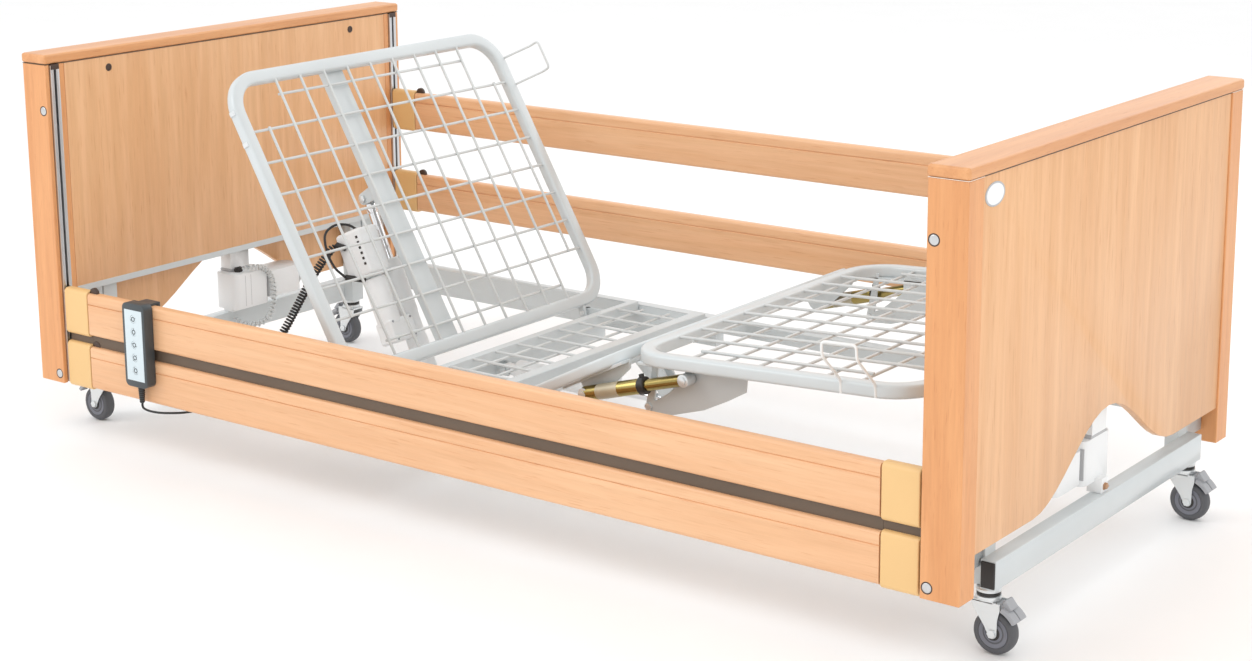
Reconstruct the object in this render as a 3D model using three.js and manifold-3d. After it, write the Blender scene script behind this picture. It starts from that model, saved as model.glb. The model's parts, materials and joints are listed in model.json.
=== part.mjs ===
// Profiling hospital bed with a beech head and foot board, in millimetres.
// +X points to the foot end, -Y is the near side, +Z is up and the floor is z = 0.
// The platform stands at its lowest height, the backrest and the knee are raised,
// the near safety rails are down and the far ones are up.

import * as THREE from 'three';
import Module from 'manifold-3d';
import { mergeVertices } from 'three/addons/utils/BufferGeometryUtils.js';

const wasm = await Module();
wasm.setup();

// ---------------------------------------------------------------- driving dimensions

const GAP = 0.3;
const HALF_LENGTH = 1100;
const CAP_HALF_WIDTH = 532.5;
const CAP_BOTTOM = 802;
const CAP_TOP = 822;
const POST_IN = 1027;
const POST_OUT = 1098;
const POST_Y_IN = 482;
const POST_Y_OUT = 531;
const POST_BOTTOM = 125;

const PANEL_BOTTOM = 195;
const ARCH_HALF = 280;
const ARCH_RISE = 126;
const INNER_PANEL_BOTTOM = 313;

const TRACK_Y_IN = 498;
const TRACK_Y_OUT = 520;
const TRACK_FACE = 1023;
const TRACK_DEPTH = 19;

const BEAM_BOTTOM = 113;
const BEAM_TOP = 163;

const SIDE_TUBE_IN = 424;
const SIDE_TUBE_OUT = 454;
const SIDE_TUBE_TOP = 212;
const PANEL_HALF_WIDTH = 418;
const PANEL_TUBE = 28;
const PANEL_CORNER = 85;
const WIRE = 5;
const WIRE_PITCH = 69.5;
const WELD = 0.4;

const BACKREST_ANGLE = 59.8;
const BACKREST_ORIGIN = [-297.1, 224.9];
const BACKREST_LENGTH = 665;
const BACKREST_HINGE = [-302.6, 206.6];
const ACTUATOR_Y = 85;
const BACK_PIVOT = [-392, 130];
const BACK_CLEVIS = [-558, 504];

const THIGH_ANGLE = 27;
const THIGH_ORIGIN = [13, 222];
const THIGH_PIVOT = [13, 210];
const KNEE_ALONG = 376;
const KNEE_DROP = 18;
const KNEE_CLEARANCE = 3;
const CALF_ANGLE = 2.9;
const CALF_LENGTH = 599;
const CALF_DEPTH = 24;
const CROSS_PITCH = 68.5;
const LEG_PIVOT = [-325, 130];
const LEG_CLEVIS = [118, 134];
const RATCHET_Y = 400;
const RATCHET_THIGH = [266, 296];
const RATCHET_CALF = [486, 359];
const BRACKET_Y_IN = 377;
const BRACKET_Y_OUT = 382;

const RAIL_THICKNESS = 24;
const RAIL_HEIGHT = 90;
const RAIL_HALF_LENGTH = 947;
const RAIL_CAP_END = 1020;
const RAIL_LEVELS = { near: { lower: 125, upper: 239 }, far: { lower: 325, upper: 524 } };
const RAIL_OUTER = { near: -522, far: 521 };

const WHEEL_RADIUS = 37.5;
const WHEEL_WIDTH = 24;
const WHEEL_X = 1090;
const STEM_X = 1075;
const STEM_Y = 388;

const HANDSET_X = -780;
const HANDSET_WIDTH = 64;
const HANDSET_BOTTOM = 163;
const HANDSET_TOP = 338;
const HANDSET_FRONT = -546.5;
const BUTTON_PITCH = 27;

// The handset stands proud on the near side, so the bed sits this far off centre.
const CENTRE_SHIFT = 7.5;

// ---------------------------------------------------------------- helpers

const radians = THREE.MathUtils.degToRad;
const bed = new THREE.Group();
bed.position.y = CENTRE_SHIFT;

function solid(geometry) {
  geometry.deleteAttribute('normal');
  geometry.deleteAttribute('uv');
  const merged = mergeVertices(geometry, 1e-4);
  return new wasm.Manifold(new wasm.Mesh({
    numProp: 3,
    vertProperties: new Float32Array(merged.attributes.position.array),
    triVerts: new Uint32Array(merged.index.array),
  }));
}

function join(solids) {
  return solids.reduce((sum, next) => sum.add(next));
}

function block(xa, xb, ya, yb, za, zb) {
  const geometry = new THREE.BoxGeometry(Math.abs(xb - xa), Math.abs(yb - ya), Math.abs(zb - za));
  geometry.translate((xa + xb) / 2, (ya + yb) / 2, (za + zb) / 2);
  return solid(geometry);
}

// An outline in the XZ plane, filled from y = ya to y = yb.
function plate(outline, ya, yb) {
  const shape = new THREE.Shape(outline.map(([x, z]) => new THREE.Vector2(x, z)));
  const geometry = new THREE.ExtrudeGeometry(shape, { depth: Math.abs(yb - ya), bevelEnabled: false });
  geometry.rotateX(Math.PI / 2);
  geometry.translate(0, Math.max(ya, yb), 0);
  return solid(geometry);
}

// An outline in the YZ plane, filled from x = xa to x = xb.
function board(outline, xa, xb) {
  const shape = new THREE.Shape(outline.map(([y, z]) => new THREE.Vector2(y, z)));
  const geometry = new THREE.ExtrudeGeometry(shape, { depth: Math.abs(xb - xa), bevelEnabled: false });
  const turn = new THREE.Matrix4().makeBasis(
    new THREE.Vector3(0, 1, 0),
    new THREE.Vector3(0, 0, 1),
    new THREE.Vector3(1, 0, 0),
  );
  geometry.applyMatrix4(turn);
  geometry.translate(Math.min(xa, xb), 0, 0);
  return solid(geometry);
}

function cylinder(start, end, radius, sides = 16, endRadius = radius) {
  const a = new THREE.Vector3(...start);
  const b = new THREE.Vector3(...end);
  const geometry = new THREE.CylinderGeometry(endRadius, radius, a.distanceTo(b), sides);
  const along = b.clone().sub(a).normalize();
  geometry.applyQuaternion(new THREE.Quaternion().setFromUnitVectors(new THREE.Vector3(0, 1, 0), along));
  geometry.translate((a.x + b.x) / 2, (a.y + b.y) / 2, (a.z + b.z) / 2);
  return solid(geometry);
}

function roundedOutline(Kind, xa, xb, ya, yb, radius) {
  const outline = new Kind();
  outline.moveTo(xa + radius, ya);
  outline.lineTo(xb - radius, ya);
  outline.absarc(xb - radius, ya + radius, radius, -Math.PI / 2, 0, false);
  outline.lineTo(xb, yb - radius);
  outline.absarc(xb - radius, yb - radius, radius, 0, Math.PI / 2, false);
  outline.lineTo(xa + radius, yb);
  outline.absarc(xa + radius, yb - radius, radius, Math.PI / 2, Math.PI, false);
  outline.lineTo(xa, ya + radius);
  outline.absarc(xa + radius, ya + radius, radius, Math.PI, 1.5 * Math.PI, false);
  return outline;
}

function roundedSlab(xa, xb, ya, yb, radius, za, zb, segments = 4) {
  const shape = roundedOutline(THREE.Shape, xa, xb, ya, yb, radius);
  const geometry = new THREE.ExtrudeGeometry(shape, {
    depth: zb - za, bevelEnabled: false, curveSegments: segments,
  });
  geometry.translate(0, 0, za);
  return solid(geometry);
}

// A closed tube of the given radius along a smooth route through the points.
function hose(points, radius, sides, steps) {
  const route = new THREE.CatmullRomCurve3(points.map((p) => new THREE.Vector3(...p)), false, 'centripetal');
  const section = new THREE.Shape();
  for (let i = 0; i < sides; i += 1) {
    const angle = (2 * Math.PI * i) / sides;
    const x = radius * Math.cos(angle);
    const y = radius * Math.sin(angle);
    if (i === 0) {
      section.moveTo(x, y);
    } else {
      section.lineTo(x, y);
    }
  }
  const geometry = new THREE.ExtrudeGeometry(section, { steps, extrudePath: route, bevelEnabled: false });
  return solid(geometry);
}

function part(name, body, finish, parent = bed) {
  const data = body.getMesh();
  const geometry = new THREE.BufferGeometry();
  geometry.setAttribute('position', new THREE.BufferAttribute(new Float32Array(data.vertProperties), 3));
  geometry.setIndex(new THREE.BufferAttribute(new Uint32Array(data.triVerts), 1));
  geometry.computeVertexNormals();
  const mesh = new THREE.Mesh(geometry, new THREE.MeshStandardMaterial(finish));
  mesh.name = name;
  parent.add(mesh);
}

// A group whose +X axis leaves the point (x, z) at the given angle above the floor.
function tilted(origin, y, degrees) {
  const group = new THREE.Group();
  group.position.set(origin[0], y, origin[1]);
  group.rotation.y = -radians(degrees);
  bed.add(group);
  return group;
}

// A point of the XZ plane as (along, above) in a tilted group.
function localPoint(origin, degrees, point) {
  const angle = radians(degrees);
  const dx = point[0] - origin[0];
  const dz = point[1] - origin[1];
  return [dx * Math.cos(angle) + dz * Math.sin(angle), dz * Math.cos(angle) - dx * Math.sin(angle)];
}

function worldPoint(origin, degrees, along, above) {
  const angle = radians(degrees);
  return [
    origin[0] + along * Math.cos(angle) - above * Math.sin(angle),
    origin[1] + along * Math.sin(angle) + above * Math.cos(angle),
  ];
}

function heading(from, to) {
  return THREE.MathUtils.radToDeg(Math.atan2(to[1] - from[1], to[0] - from[0]));
}

// ---------------------------------------------------------------- finishes

const BEECH = { color: 0xe0a878, roughness: 0.45, metalness: 0 };
const BEECH_EDGE = { color: 0xd2945f, roughness: 0.45, metalness: 0 };
const RAIL_BEECH = { color: 0xd9a27a, roughness: 0.42, metalness: 0 };
const GREY_PAINT = { color: 0xdcdedd, roughness: 0.35, metalness: 0.1 };
const WHITE_PAINT = { color: 0xe9ebea, roughness: 0.4, metalness: 0.1 };
const ALUMINIUM = { color: 0xb9bcbf, roughness: 0.35, metalness: 0.9 };
const CHROME = { color: 0xd5d7d9, roughness: 0.12, metalness: 1 };
const ZINC = { color: 0xc2c4c6, roughness: 0.3, metalness: 0.9 };
const GOLD_ZINC = { color: 0xb59a55, roughness: 0.35, metalness: 0.85 };
const WHITE_PLASTIC = { color: 0xe6e8e7, roughness: 0.45, metalness: 0 };
const GREY_PLASTIC = { color: 0xa9aab4, roughness: 0.5, metalness: 0 };
const SLATE_PLASTIC = { color: 0x4c535b, roughness: 0.5, metalness: 0 };
const ICE_PLASTIC = { color: 0xc7d3d8, roughness: 0.4, metalness: 0 };
const BLACK_PLASTIC = { color: 0x2a2523, roughness: 0.5, metalness: 0 };
const TYRE = { color: 0x55555c, roughness: 0.7, metalness: 0 };

// ---------------------------------------------------------------- head and foot boards

function archedOutline() {
  const outline = [[-POST_Y_IN + GAP, CAP_BOTTOM - GAP], [-POST_Y_IN + GAP, PANEL_BOTTOM]];
  const steps = 20;
  for (let i = 0; i <= steps; i += 1) {
    const y = -ARCH_HALF + (2 * ARCH_HALF * i) / steps;
    outline.push([y, PANEL_BOTTOM + (ARCH_RISE / 2) * (1 + Math.cos((Math.PI * y) / ARCH_HALF))]);
  }
  outline.push([POST_Y_IN - GAP, PANEL_BOTTOM], [POST_Y_IN - GAP, CAP_BOTTOM - GAP]);
  return outline;
}

function boardSurround(s) {
  const capIn = 1025;
  const capMiddle = (s * (capIn + HALF_LENGTH)) / 2;
  const capHalf = (HALF_LENGTH - capIn) / 2;
  let body = roundedSlab(
    capMiddle - capHalf, capMiddle + capHalf, -CAP_HALF_WIDTH, CAP_HALF_WIDTH, 14, CAP_BOTTOM, CAP_TOP,
  );
  for (const t of [-1, 1]) {
    const postX = [s * POST_IN, s * POST_OUT].sort((a, b) => a - b);
    const postY = [t * POST_Y_IN, t * POST_Y_OUT].sort((a, b) => a - b);
    const post = roundedSlab(postX[0], postX[1], postY[0], postY[1], 6, POST_BOTTOM, CAP_BOTTOM + 1, 2);
    const groove = block(
      s * (POST_IN - 1), s * (TRACK_FACE + TRACK_DEPTH + GAP),
      t * (TRACK_Y_IN - GAP), t * (TRACK_Y_OUT + GAP),
      POST_BOTTOM + 2, CAP_BOTTOM - 2,
    );
    body = body.add(post.subtract(groove));
  }
  return body;
}

function railTrack(s, t) {
  const slotHalf = 3;
  const middle = (TRACK_Y_IN + TRACK_Y_OUT) / 2;
  const channel = block(
    s * TRACK_FACE, s * (TRACK_FACE + TRACK_DEPTH), t * TRACK_Y_IN, t * TRACK_Y_OUT,
    POST_BOTTOM + 2 + GAP, CAP_BOTTOM - 2 - GAP,
  );
  const slot = block(
    s * (TRACK_FACE - 1), s * (TRACK_FACE + TRACK_DEPTH - 4),
    t * (middle - slotHalf), t * (middle + slotHalf), POST_BOTTOM, CAP_BOTTOM - 12,
  );
  return channel.subtract(slot);
}

const ENDS = [['head', -1], ['foot', 1]];
const SIDES = [['near', -1], ['far', 1]];

for (const [end, s] of ENDS) {
  part(`${end}_board_surround`, boardSurround(s), BEECH_EDGE);
  part(`${end}_board_outer_panel`, board(archedOutline(), s * 1079, s * 1095), BEECH);
  part(
    `${end}_board_inner_panel`,
    block(s * 1027, s * 1043, GAP - POST_Y_IN, POST_Y_IN - GAP, INNER_PANEL_BOTTOM, CAP_BOTTOM - GAP),
    BEECH,
  );
  for (const [side, t] of SIDES) {
    part(`${end}_${side}_rail_track`, railTrack(s, t), ALUMINIUM);
  }
}

// ---------------------------------------------------------------- lift frames and lift actuators

function liftFrame(s) {
  const pieces = [block(s * 1070, s * 1098, -410, 410, BEAM_BOTTOM, BEAM_TOP)];
  for (const [, t] of SIDES) {
    pieces.push(block(s * 1044, s * 1072, t * 362, t * 398, BEAM_BOTTOM, 640));
  }
  return join(pieces);
}

// The housing's long side points the other way at the foot.
function liftActuator(s) {
  const box = [s * 1008, s * 1078].sort((a, b) => a - b);
  const gearbox = [-s * -50, -s * 55].sort((a, b) => a - b);
  const housing = roundedSlab(box[0], box[1], gearbox[0], gearbox[1], 16, 183, 264);
  const motorY = [-s * 50, -s * 165].sort((a, b) => a - b);
  const motor = roundedSlab(box[0] + 2, box[1] - 2, motorY[0], motorY[1], 24, 192, 253);
  const column = block(s * 1046, s * 1078, -28, 28, 258, 700);
  const clevis = block(s * 1064, s * 1092, -12, 12, BEAM_TOP + GAP, 190);
  const bore = block(s * 1051, s * 1073, -21, 21, 192, 701);
  return join([housing, motor, column, clevis]).subtract(bore);
}

for (const [end, s] of ENDS) {
  part(`${end}_lift_frame`, liftFrame(s), ALUMINIUM);
  part(`${end}_lift_actuator`, liftActuator(s), WHITE_PLASTIC);
  part(`${end}_lift_rod`, block(s * 1052, s * 1072, -20, 20, 195, CAP_BOTTOM - GAP), ALUMINIUM);
}

// ---------------------------------------------------------------- castors

// The outlines run outward from the wheel's axle, before the castor is mirrored.
function castorFork(s) {
  const stem = STEM_X - WHEEL_X;
  const cheek = [[-40, 92], [14, 92], [14, 79], [8, 60], [8, 29], [-8, 29], [-14, 45], [-40, 80]];
  const mirrored = cheek.map(([x, z]) => [s * x, z]);
  return join([
    plate(mirrored, 14, 17),
    plate(mirrored, -17, -14),
    block(s * -40, s * 1, -17, 17, 84, 92),
    cylinder([s * stem, 0, 91.8], [s * stem, 0, BEAM_BOTTOM - GAP], 20, 20),
    cylinder([0, -17, WHEEL_RADIUS], [0, 17, WHEEL_RADIUS], 5.5, 10),
  ]);
}

function castorWheel() {
  const tyre = cylinder([0, -WHEEL_WIDTH / 2, WHEEL_RADIUS], [0, WHEEL_WIDTH / 2, WHEEL_RADIUS], WHEEL_RADIUS, 32);
  return tyre.subtract(cylinder([0, -20, WHEEL_RADIUS], [0, 20, WHEEL_RADIUS], 6.5, 10));
}

// A shoe that curves round the wheel, hinged inside the fork.
function castorPedal(s) {
  const inner = [];
  const outer = [];
  for (const degrees of [72, 58, 44, 30]) {
    const angle = radians(degrees);
    inner.push([s * 43.5 * Math.cos(angle), WHEEL_RADIUS + 43.5 * Math.sin(angle)]);
    outer.unshift([s * 52 * Math.cos(angle), WHEEL_RADIUS + 52 * Math.sin(angle)]);
  }
  const hub = [[s * 3, 80], [s * 15, 80], [s * 22, 90.6], [s * 3, 90.6]];
  const shoe = [...inner, ...outer, [s * 14.6, 98]];
  return join([plate(hub, -13, 13), plate(shoe, -21, 21).subtract(block(s * 10, s * 15.2, -30, 30, 70, 100))]);
}

for (const [end, s] of ENDS) {
  for (const [side, t] of SIDES) {
    const castor = new THREE.Group();
    castor.position.set(s * WHEEL_X, t * STEM_Y, 0);
    bed.add(castor);
    part(`${end}_${side}_castor_fork`, castorFork(s), ZINC, castor);
    part(`${end}_${side}_castor_wheel`, castorWheel(), TYRE, castor);
    part(`${end}_${side}_castor_pedal`, castorPedal(s), GREY_PLASTIC, castor);
  }
}

// ---------------------------------------------------------------- chassis and seat

function ears(x0, x1, z0, z1, y) {
  return [block(x0, x1, y - 15, y - 10, z0, z1), block(x0, x1, y + 10, y + 15, z0, z1)];
}

function chassisFrame() {
  const pieces = [block(-375, -345, -SIDE_TUBE_OUT, SIDE_TUBE_OUT, 112, 151)];
  for (const [, t] of SIDES) {
    const inner = t * SIDE_TUBE_IN;
    const outer = t * SIDE_TUBE_OUT;
    pieces.push(block(-1046, -20, inner, outer, 150, SIDE_TUBE_TOP));
    pieces.push(block(-21, 1046, inner, outer, 182, SIDE_TUBE_TOP));
    for (const [, s] of ENDS) {
      pieces.push(block(s * 1044, s * 1068, t * 402, t * 478, 150, 780));
    }
  }
  pieces.push(...ears(-404, -360, 118, 142, -ACTUATOR_Y));
  pieces.push(...ears(-360, -313, 118, 142, ACTUATOR_Y));
  return join(pieces);
}

part('chassis_frame', chassisFrame(), GREY_PAINT);

function seatPanel() {
  const top = 222;
  const pieces = [];
  const end = SIDE_TUBE_IN - GAP;
  for (const [xa, xb] of [[-255, -235], [-74, -46]]) {
    pieces.push(block(xa, xb, -end, end, 194, top));
  }
  for (let k = -5; k <= 5; k += 1) {
    const y = k * WIRE_PITCH;
    pieces.push(block(-250, -60, y - WIRE / 2, y + WIRE / 2, top - WIRE, top - WELD));
  }
  const reach = 5.6 * WIRE_PITCH;
  for (const x of [-190, -120]) {
    pieces.push(block(x - WIRE / 2, x + WIRE / 2, -reach, reach, top - WIRE + WELD, top - 2 * WELD));
  }
  for (const [, t] of SIDES) {
    const bracket = [
      [-250, 199], [-250, 219], [-285, 218.5], [-298, 216],
      [-306, 215], [-311.5, 210.5], [-312, 203.5], [-306, 197.5],
    ];
    pieces.push(plate(bracket, t * 327, t * 333));
  }
  return join(pieces);
}

part('seat_panel', seatPanel(), GREY_PAINT);

// ---------------------------------------------------------------- mesh panels

// A rounded tube ring with a lattice of welded wires just under the face at z = 0.
// It is depth thick, and a negative depth puts its back below its face.
function latticePanel(length, depth, crossWires, shortEnds) {
  const down = Math.sign(depth);
  const inner = PANEL_HALF_WIDTH - PANEL_TUBE;
  const low = Math.min(0, depth);
  const high = Math.max(0, depth);
  const ring = roundedSlab(0, length, -PANEL_HALF_WIDTH, PANEL_HALF_WIDTH, PANEL_CORNER, low, high, 5);
  const hole = roundedSlab(
    PANEL_TUBE, length - PANEL_TUBE, -inner, inner, PANEL_CORNER - PANEL_TUBE, low - 1, high + 1, 5,
  );
  const pieces = [ring.subtract(hole)];
  const half = WIRE / 2;
  const last = crossWires.length - 1;
  crossWires.forEach((x, i) => {
    const short = shortEnds && (i === 0 || i === last);
    const reach = short ? 4 * WIRE_PITCH : inner + 4;
    pieces.push(block(x - half, x + half, -reach, reach, down * 2 * WELD, down * (WIRE - WELD)));
  });
  for (let k = -5; k <= 5; k += 1) {
    const y = k * WIRE_PITCH;
    const outermost = shortEnds && Math.abs(k) === 5;
    const start = outermost ? crossWires[1] : PANEL_TUBE - 4;
    const stop = outermost ? crossWires[last - 1] : length - PANEL_TUBE + 4;
    pieces.push(block(start, stop, y - half, y + half, down * WELD, down * WIRE));
  }
  return pieces;
}

function evenly(first, pitch, count) {
  return Array.from({ length: count }, (_, i) => first + i * pitch);
}

// The wire loop that keeps a mattress from sliding off a panel's edge.
function retainer(xa, xb, side, foot, rise, lean) {
  const half = WIRE / 2;
  const edge = side * (PANEL_HALF_WIDTH - 1);
  const top = edge + side * lean;
  return [
    cylinder([xa, edge, foot], [xa, edge, 0], half, 6),
    cylinder([xb, edge, foot], [xb, edge, 0], half, 6),
    cylinder([xa, edge, 0], [xa, top, rise], half, 6),
    cylinder([xb, edge, 0], [xb, top, rise], half, 6),
    cylinder([xa - half, top, rise], [xb + half, top, rise], half, 6),
  ];
}

// ---------------------------------------------------------------- backrest

// The group's +Z axis points to the back of the backrest, so its front face is z = 0.
const backrest = tilted(BACKREST_ORIGIN, 0, 180 - BACKREST_ANGLE);
const backHeading = 180 - BACKREST_ANGLE;

function backrestPanel() {
  const pieces = latticePanel(BACKREST_LENGTH, 22, evenly(59.4, CROSS_PITCH, 9), true);
  pieces.push(block(10, BACKREST_LENGTH - 10, -120, -68, 20, 40));
  const [clevisAlong, clevisBack] = localPoint(BACKREST_ORIGIN, backHeading, BACK_CLEVIS);
  for (const y of [-101, -74]) {
    pieces.push(block(clevisAlong - 17, clevisAlong + 17, y, y + 5, 36, clevisBack + 14));
  }
  const [hingeAlong, hingeBack] = localPoint(BACKREST_ORIGIN, backHeading, BACKREST_HINGE);
  for (const [, t] of SIDES) {
    const lug = [
      [hingeAlong - 10, hingeBack - 6], [hingeAlong - 10, hingeBack + 7],
      [hingeAlong - 2, hingeBack + 12], [12, 20], [12, 2], [hingeAlong + 4, hingeBack - 9],
    ];
    pieces.push(plate(lug, t * 316, t * 323));
  }
  for (const x of [517, 585]) {
    pieces.push(block(x - 5, x + 5, -421, -415, 4, 18));
  }
  pieces.push(...retainer(528, 594, 1, 17, -76, 37));
  return join(pieces);
}

part('backrest_panel', backrestPanel(), WHITE_PAINT, backrest);

// ---------------------------------------------------------------- backrest actuator

const back = tilted(BACK_PIVOT, -ACTUATOR_Y, heading(BACK_PIVOT, BACK_CLEVIS));
const backReach = Math.hypot(BACK_CLEVIS[0] - BACK_PIVOT[0], BACK_CLEVIS[1] - BACK_PIVOT[1]);
const TUBE_END = 273;

// A push tube with its gearbox and a motor beside it; the rod slides in the bore.
function pushActuator(motorSide) {
  const bore = cylinder([20, 0, 0], [TUBE_END + 1, 0, 0], 12, 20);
  return join([
    cylinder([0, -9, 0], [0, 9, 0], 12, 16),
    block(4, 40, -9, 9, -11, 11),
    cylinder([28, 0, 0], [TUBE_END, 0, 0], 23, 20),
    block(100, 150, motorSide * -10, motorSide * 82, -20, 20),
    cylinder([140, motorSide * 60, 0], [245, motorSide * 60, 0], 25, 20),
  ]).subtract(bore.subtract(cylinder([0, 0, 0], [30, 0, 0], 30, 8)));
}

function pushRod(from, to) {
  return join([
    cylinder([from, 0, 0], [to - 6, 0, 0], 10, 16),
    cylinder([to, -8, 0], [to, 8, 0], 12, 16),
  ]);
}

part('backrest_actuator', pushActuator(-1), WHITE_PLASTIC, back);
part('backrest_actuator_rod', pushRod(backReach - 260, backReach), CHROME, back);
part('control_box', roundedSlab(250.3, 350, -97, -36, 8, -35, 35, 3), WHITE_PLASTIC, back);

// ---------------------------------------------------------------- thigh and calf sections

const thigh = tilted(THIGH_ORIGIN, 0, THIGH_ANGLE);
const KNEE = worldPoint(THIGH_ORIGIN, THIGH_ANGLE, KNEE_ALONG, -KNEE_DROP);
const calfLift = radians(CALF_ANGLE);
const CALF_ORIGIN = [
  KNEE[0] + KNEE_CLEARANCE * Math.cos(calfLift) - KNEE_DROP * Math.sin(calfLift),
  KNEE[1] + KNEE_CLEARANCE * Math.sin(calfLift) + KNEE_DROP * Math.cos(calfLift),
];
const calf = tilted(CALF_ORIGIN, 0, CALF_ANGLE);

function onThigh(points) {
  return points.map((p) => localPoint(THIGH_ORIGIN, THIGH_ANGLE, p));
}

function onCalf(points) {
  return points.map((p) => localPoint(CALF_ORIGIN, CALF_ANGLE, p));
}

function thighPanel() {
  const pieces = latticePanel(KNEE_ALONG - KNEE_CLEARANCE, -22, evenly(71, WIRE_PITCH, 4), false);
  const gusset = onThigh([
    [232, 318], [250, 290], [262, 282], [274, 285], [300, 303], [350, 352], [351, 371], [300, 345],
  ]);
  const [pinX, pinZ] = onThigh([RATCHET_THIGH])[0];
  for (const [, t] of SIDES) {
    pieces.push(plate(gusset, t * BRACKET_Y_IN, t * BRACKET_Y_OUT));
    pieces.push(block(210, 362, t * BRACKET_Y_IN, t * 400, -26, -20));
    pieces.push(cylinder([pinX, t * 380, pinZ], [pinX, t * 385, pinZ], 9, 12));
  }
  const [leverX, leverZ] = onThigh([LEG_CLEVIS])[0];
  const lever = [
    [2, -18], [62, -20], [leverX + 14, leverZ + 6], [leverX + 10, leverZ - 11],
    [leverX - 8, leverZ - 12], [leverX - 14, leverZ + 4],
  ];
  for (const y of [ACTUATOR_Y - 16, ACTUATOR_Y + 11]) {
    pieces.push(plate(lever, y, y + 5));
  }
  return join(pieces);
}

function calfPanel() {
  const pieces = latticePanel(CALF_LENGTH, -CALF_DEPTH, evenly(59, CROSS_PITCH, 8), true);
  const arm = onCalf([
    [384, 284], [398, 279], [442, 282], [510, 303], [560, 328], [598, 350], [602, 389],
    [470, 387], [470, 352], [430, 318], [404, 302], [414, 384], [403.5, 384], [386, 298],
  ]);
  const [pinX, pinZ] = onCalf([RATCHET_CALF])[0];
  for (const [, t] of SIDES) {
    pieces.push(plate(arm, t * BRACKET_Y_IN, t * BRACKET_Y_OUT));
    pieces.push(block(20, 240, t * BRACKET_Y_IN, t * 400, -CALF_DEPTH - 4, 2 - CALF_DEPTH));
    pieces.push(cylinder([pinX, t * 380, pinZ], [pinX, t * 385, pinZ], 9, 12));
    pieces.push(...retainer(451, 517, t, 2 - CALF_DEPTH, 78, 55));
  }
  return join(pieces);
}

part('thigh_panel', thighPanel(), GREY_PAINT, thigh);
part('calf_panel', calfPanel(), GREY_PAINT, calf);

// ---------------------------------------------------------------- knee ratchets

const ratchetReach = Math.hypot(RATCHET_CALF[0] - RATCHET_THIGH[0], RATCHET_CALF[1] - RATCHET_THIGH[1]);

for (const [side, t] of SIDES) {
  const ratchet = tilted(RATCHET_THIGH, t * RATCHET_Y, heading(RATCHET_THIGH, RATCHET_CALF));
  const sleeve = join([
    cylinder([-12, 0, 0], [137, 0, 0], 14, 16),
    cylinder([127, 0, 0], [141, 0, 0], 16, 16),
  ]).subtract(cylinder([8, 0, 0], [142, 0, 0], 12, 16));
  part(`${side}_ratchet_tube`, sleeve, GOLD_ZINC, ratchet);
  part(`${side}_ratchet_rod`, cylinder([50, 0, 0], [ratchetReach + 9, 0, 0], 11, 16), GOLD_ZINC, ratchet);
}

// ---------------------------------------------------------------- leg actuator

const leg = tilted(LEG_PIVOT, ACTUATOR_Y, heading(LEG_PIVOT, LEG_CLEVIS));
const legReach = Math.hypot(LEG_CLEVIS[0] - LEG_PIVOT[0], LEG_CLEVIS[1] - LEG_PIVOT[1]);
part('leg_actuator', pushActuator(1), WHITE_PLASTIC, leg);
part('leg_actuator_rod', pushRod(legReach - 260, legReach), CHROME, leg);

// ---------------------------------------------------------------- safety rails

const LATCH_X = -938;

function railSection(outer, t, bottom, height, proud) {
  const a = outer + t * proud;
  const b = outer - t * (RAIL_THICKNESS + proud);
  const c = 3;
  return [
    [a, bottom + c], [a - t * c, bottom], [b + t * c, bottom], [b, bottom + c],
    [b, bottom + height - c], [b + t * c, bottom + height],
    [a - t * c, bottom + height], [a, bottom + height - c],
  ];
}

function rail(side, t, bottom) {
  const outer = RAIL_OUTER[side];
  const middle = outer - (t * RAIL_THICKNESS) / 2;
  const slot = t * (TRACK_Y_IN + TRACK_Y_OUT) / 2;
  const pieces = [board(railSection(outer, t, bottom, RAIL_HEIGHT, 0), -RAIL_HALF_LENGTH, RAIL_HALF_LENGTH)];
  for (const [, s] of ENDS) {
    const cap = railSection(outer, t, bottom - 4, RAIL_HEIGHT + 8, 1);
    pieces.push(board(cap, s * (RAIL_HALF_LENGTH - 1), s * RAIL_CAP_END));
    pieces.push(block(s * (RAIL_CAP_END - 3), s * 1034, slot - 2.4, slot + 2.4, bottom + 6, bottom + 84));
  }
  const top = bottom + RAIL_HEIGHT;
  const pocket = block(LATCH_X - 11.6, LATCH_X + 11.6, middle - 4, middle + 4, top - 14, top + 10);
  return join(pieces).subtract(pocket);
}

function latchTab(side, t, bottom) {
  const middle = RAIL_OUTER[side] - (t * RAIL_THICKNESS) / 2;
  const top = bottom + RAIL_HEIGHT;
  const outline = [[LATCH_X - 11, top - 6]];
  for (let i = 0; i <= 8; i += 1) {
    const angle = (Math.PI * (8 - i)) / 8;
    outline.push([LATCH_X + 11 * Math.cos(angle), top + 1 + 11 * Math.sin(angle)]);
  }
  outline.push([LATCH_X + 11, top - 6]);
  return plate(outline, middle - 3.5, middle + 3.5);
}

for (const [side, t] of SIDES) {
  for (const level of ['lower', 'upper']) {
    const bottom = RAIL_LEVELS[side][level];
    part(`${side}_${level}_rail`, rail(side, t, bottom), RAIL_BEECH);
    part(`${side}_${level}_rail_latch`, latchTab(side, t, bottom), BLACK_PLASTIC);
  }
}

// ---------------------------------------------------------------- handset and cords

const BUTTON_RADIUS = 8.2;
const BUTTON_LEVELS = evenly(-2 * BUTTON_PITCH, BUTTON_PITCH, 5).map((z) => z + 252);

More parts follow.
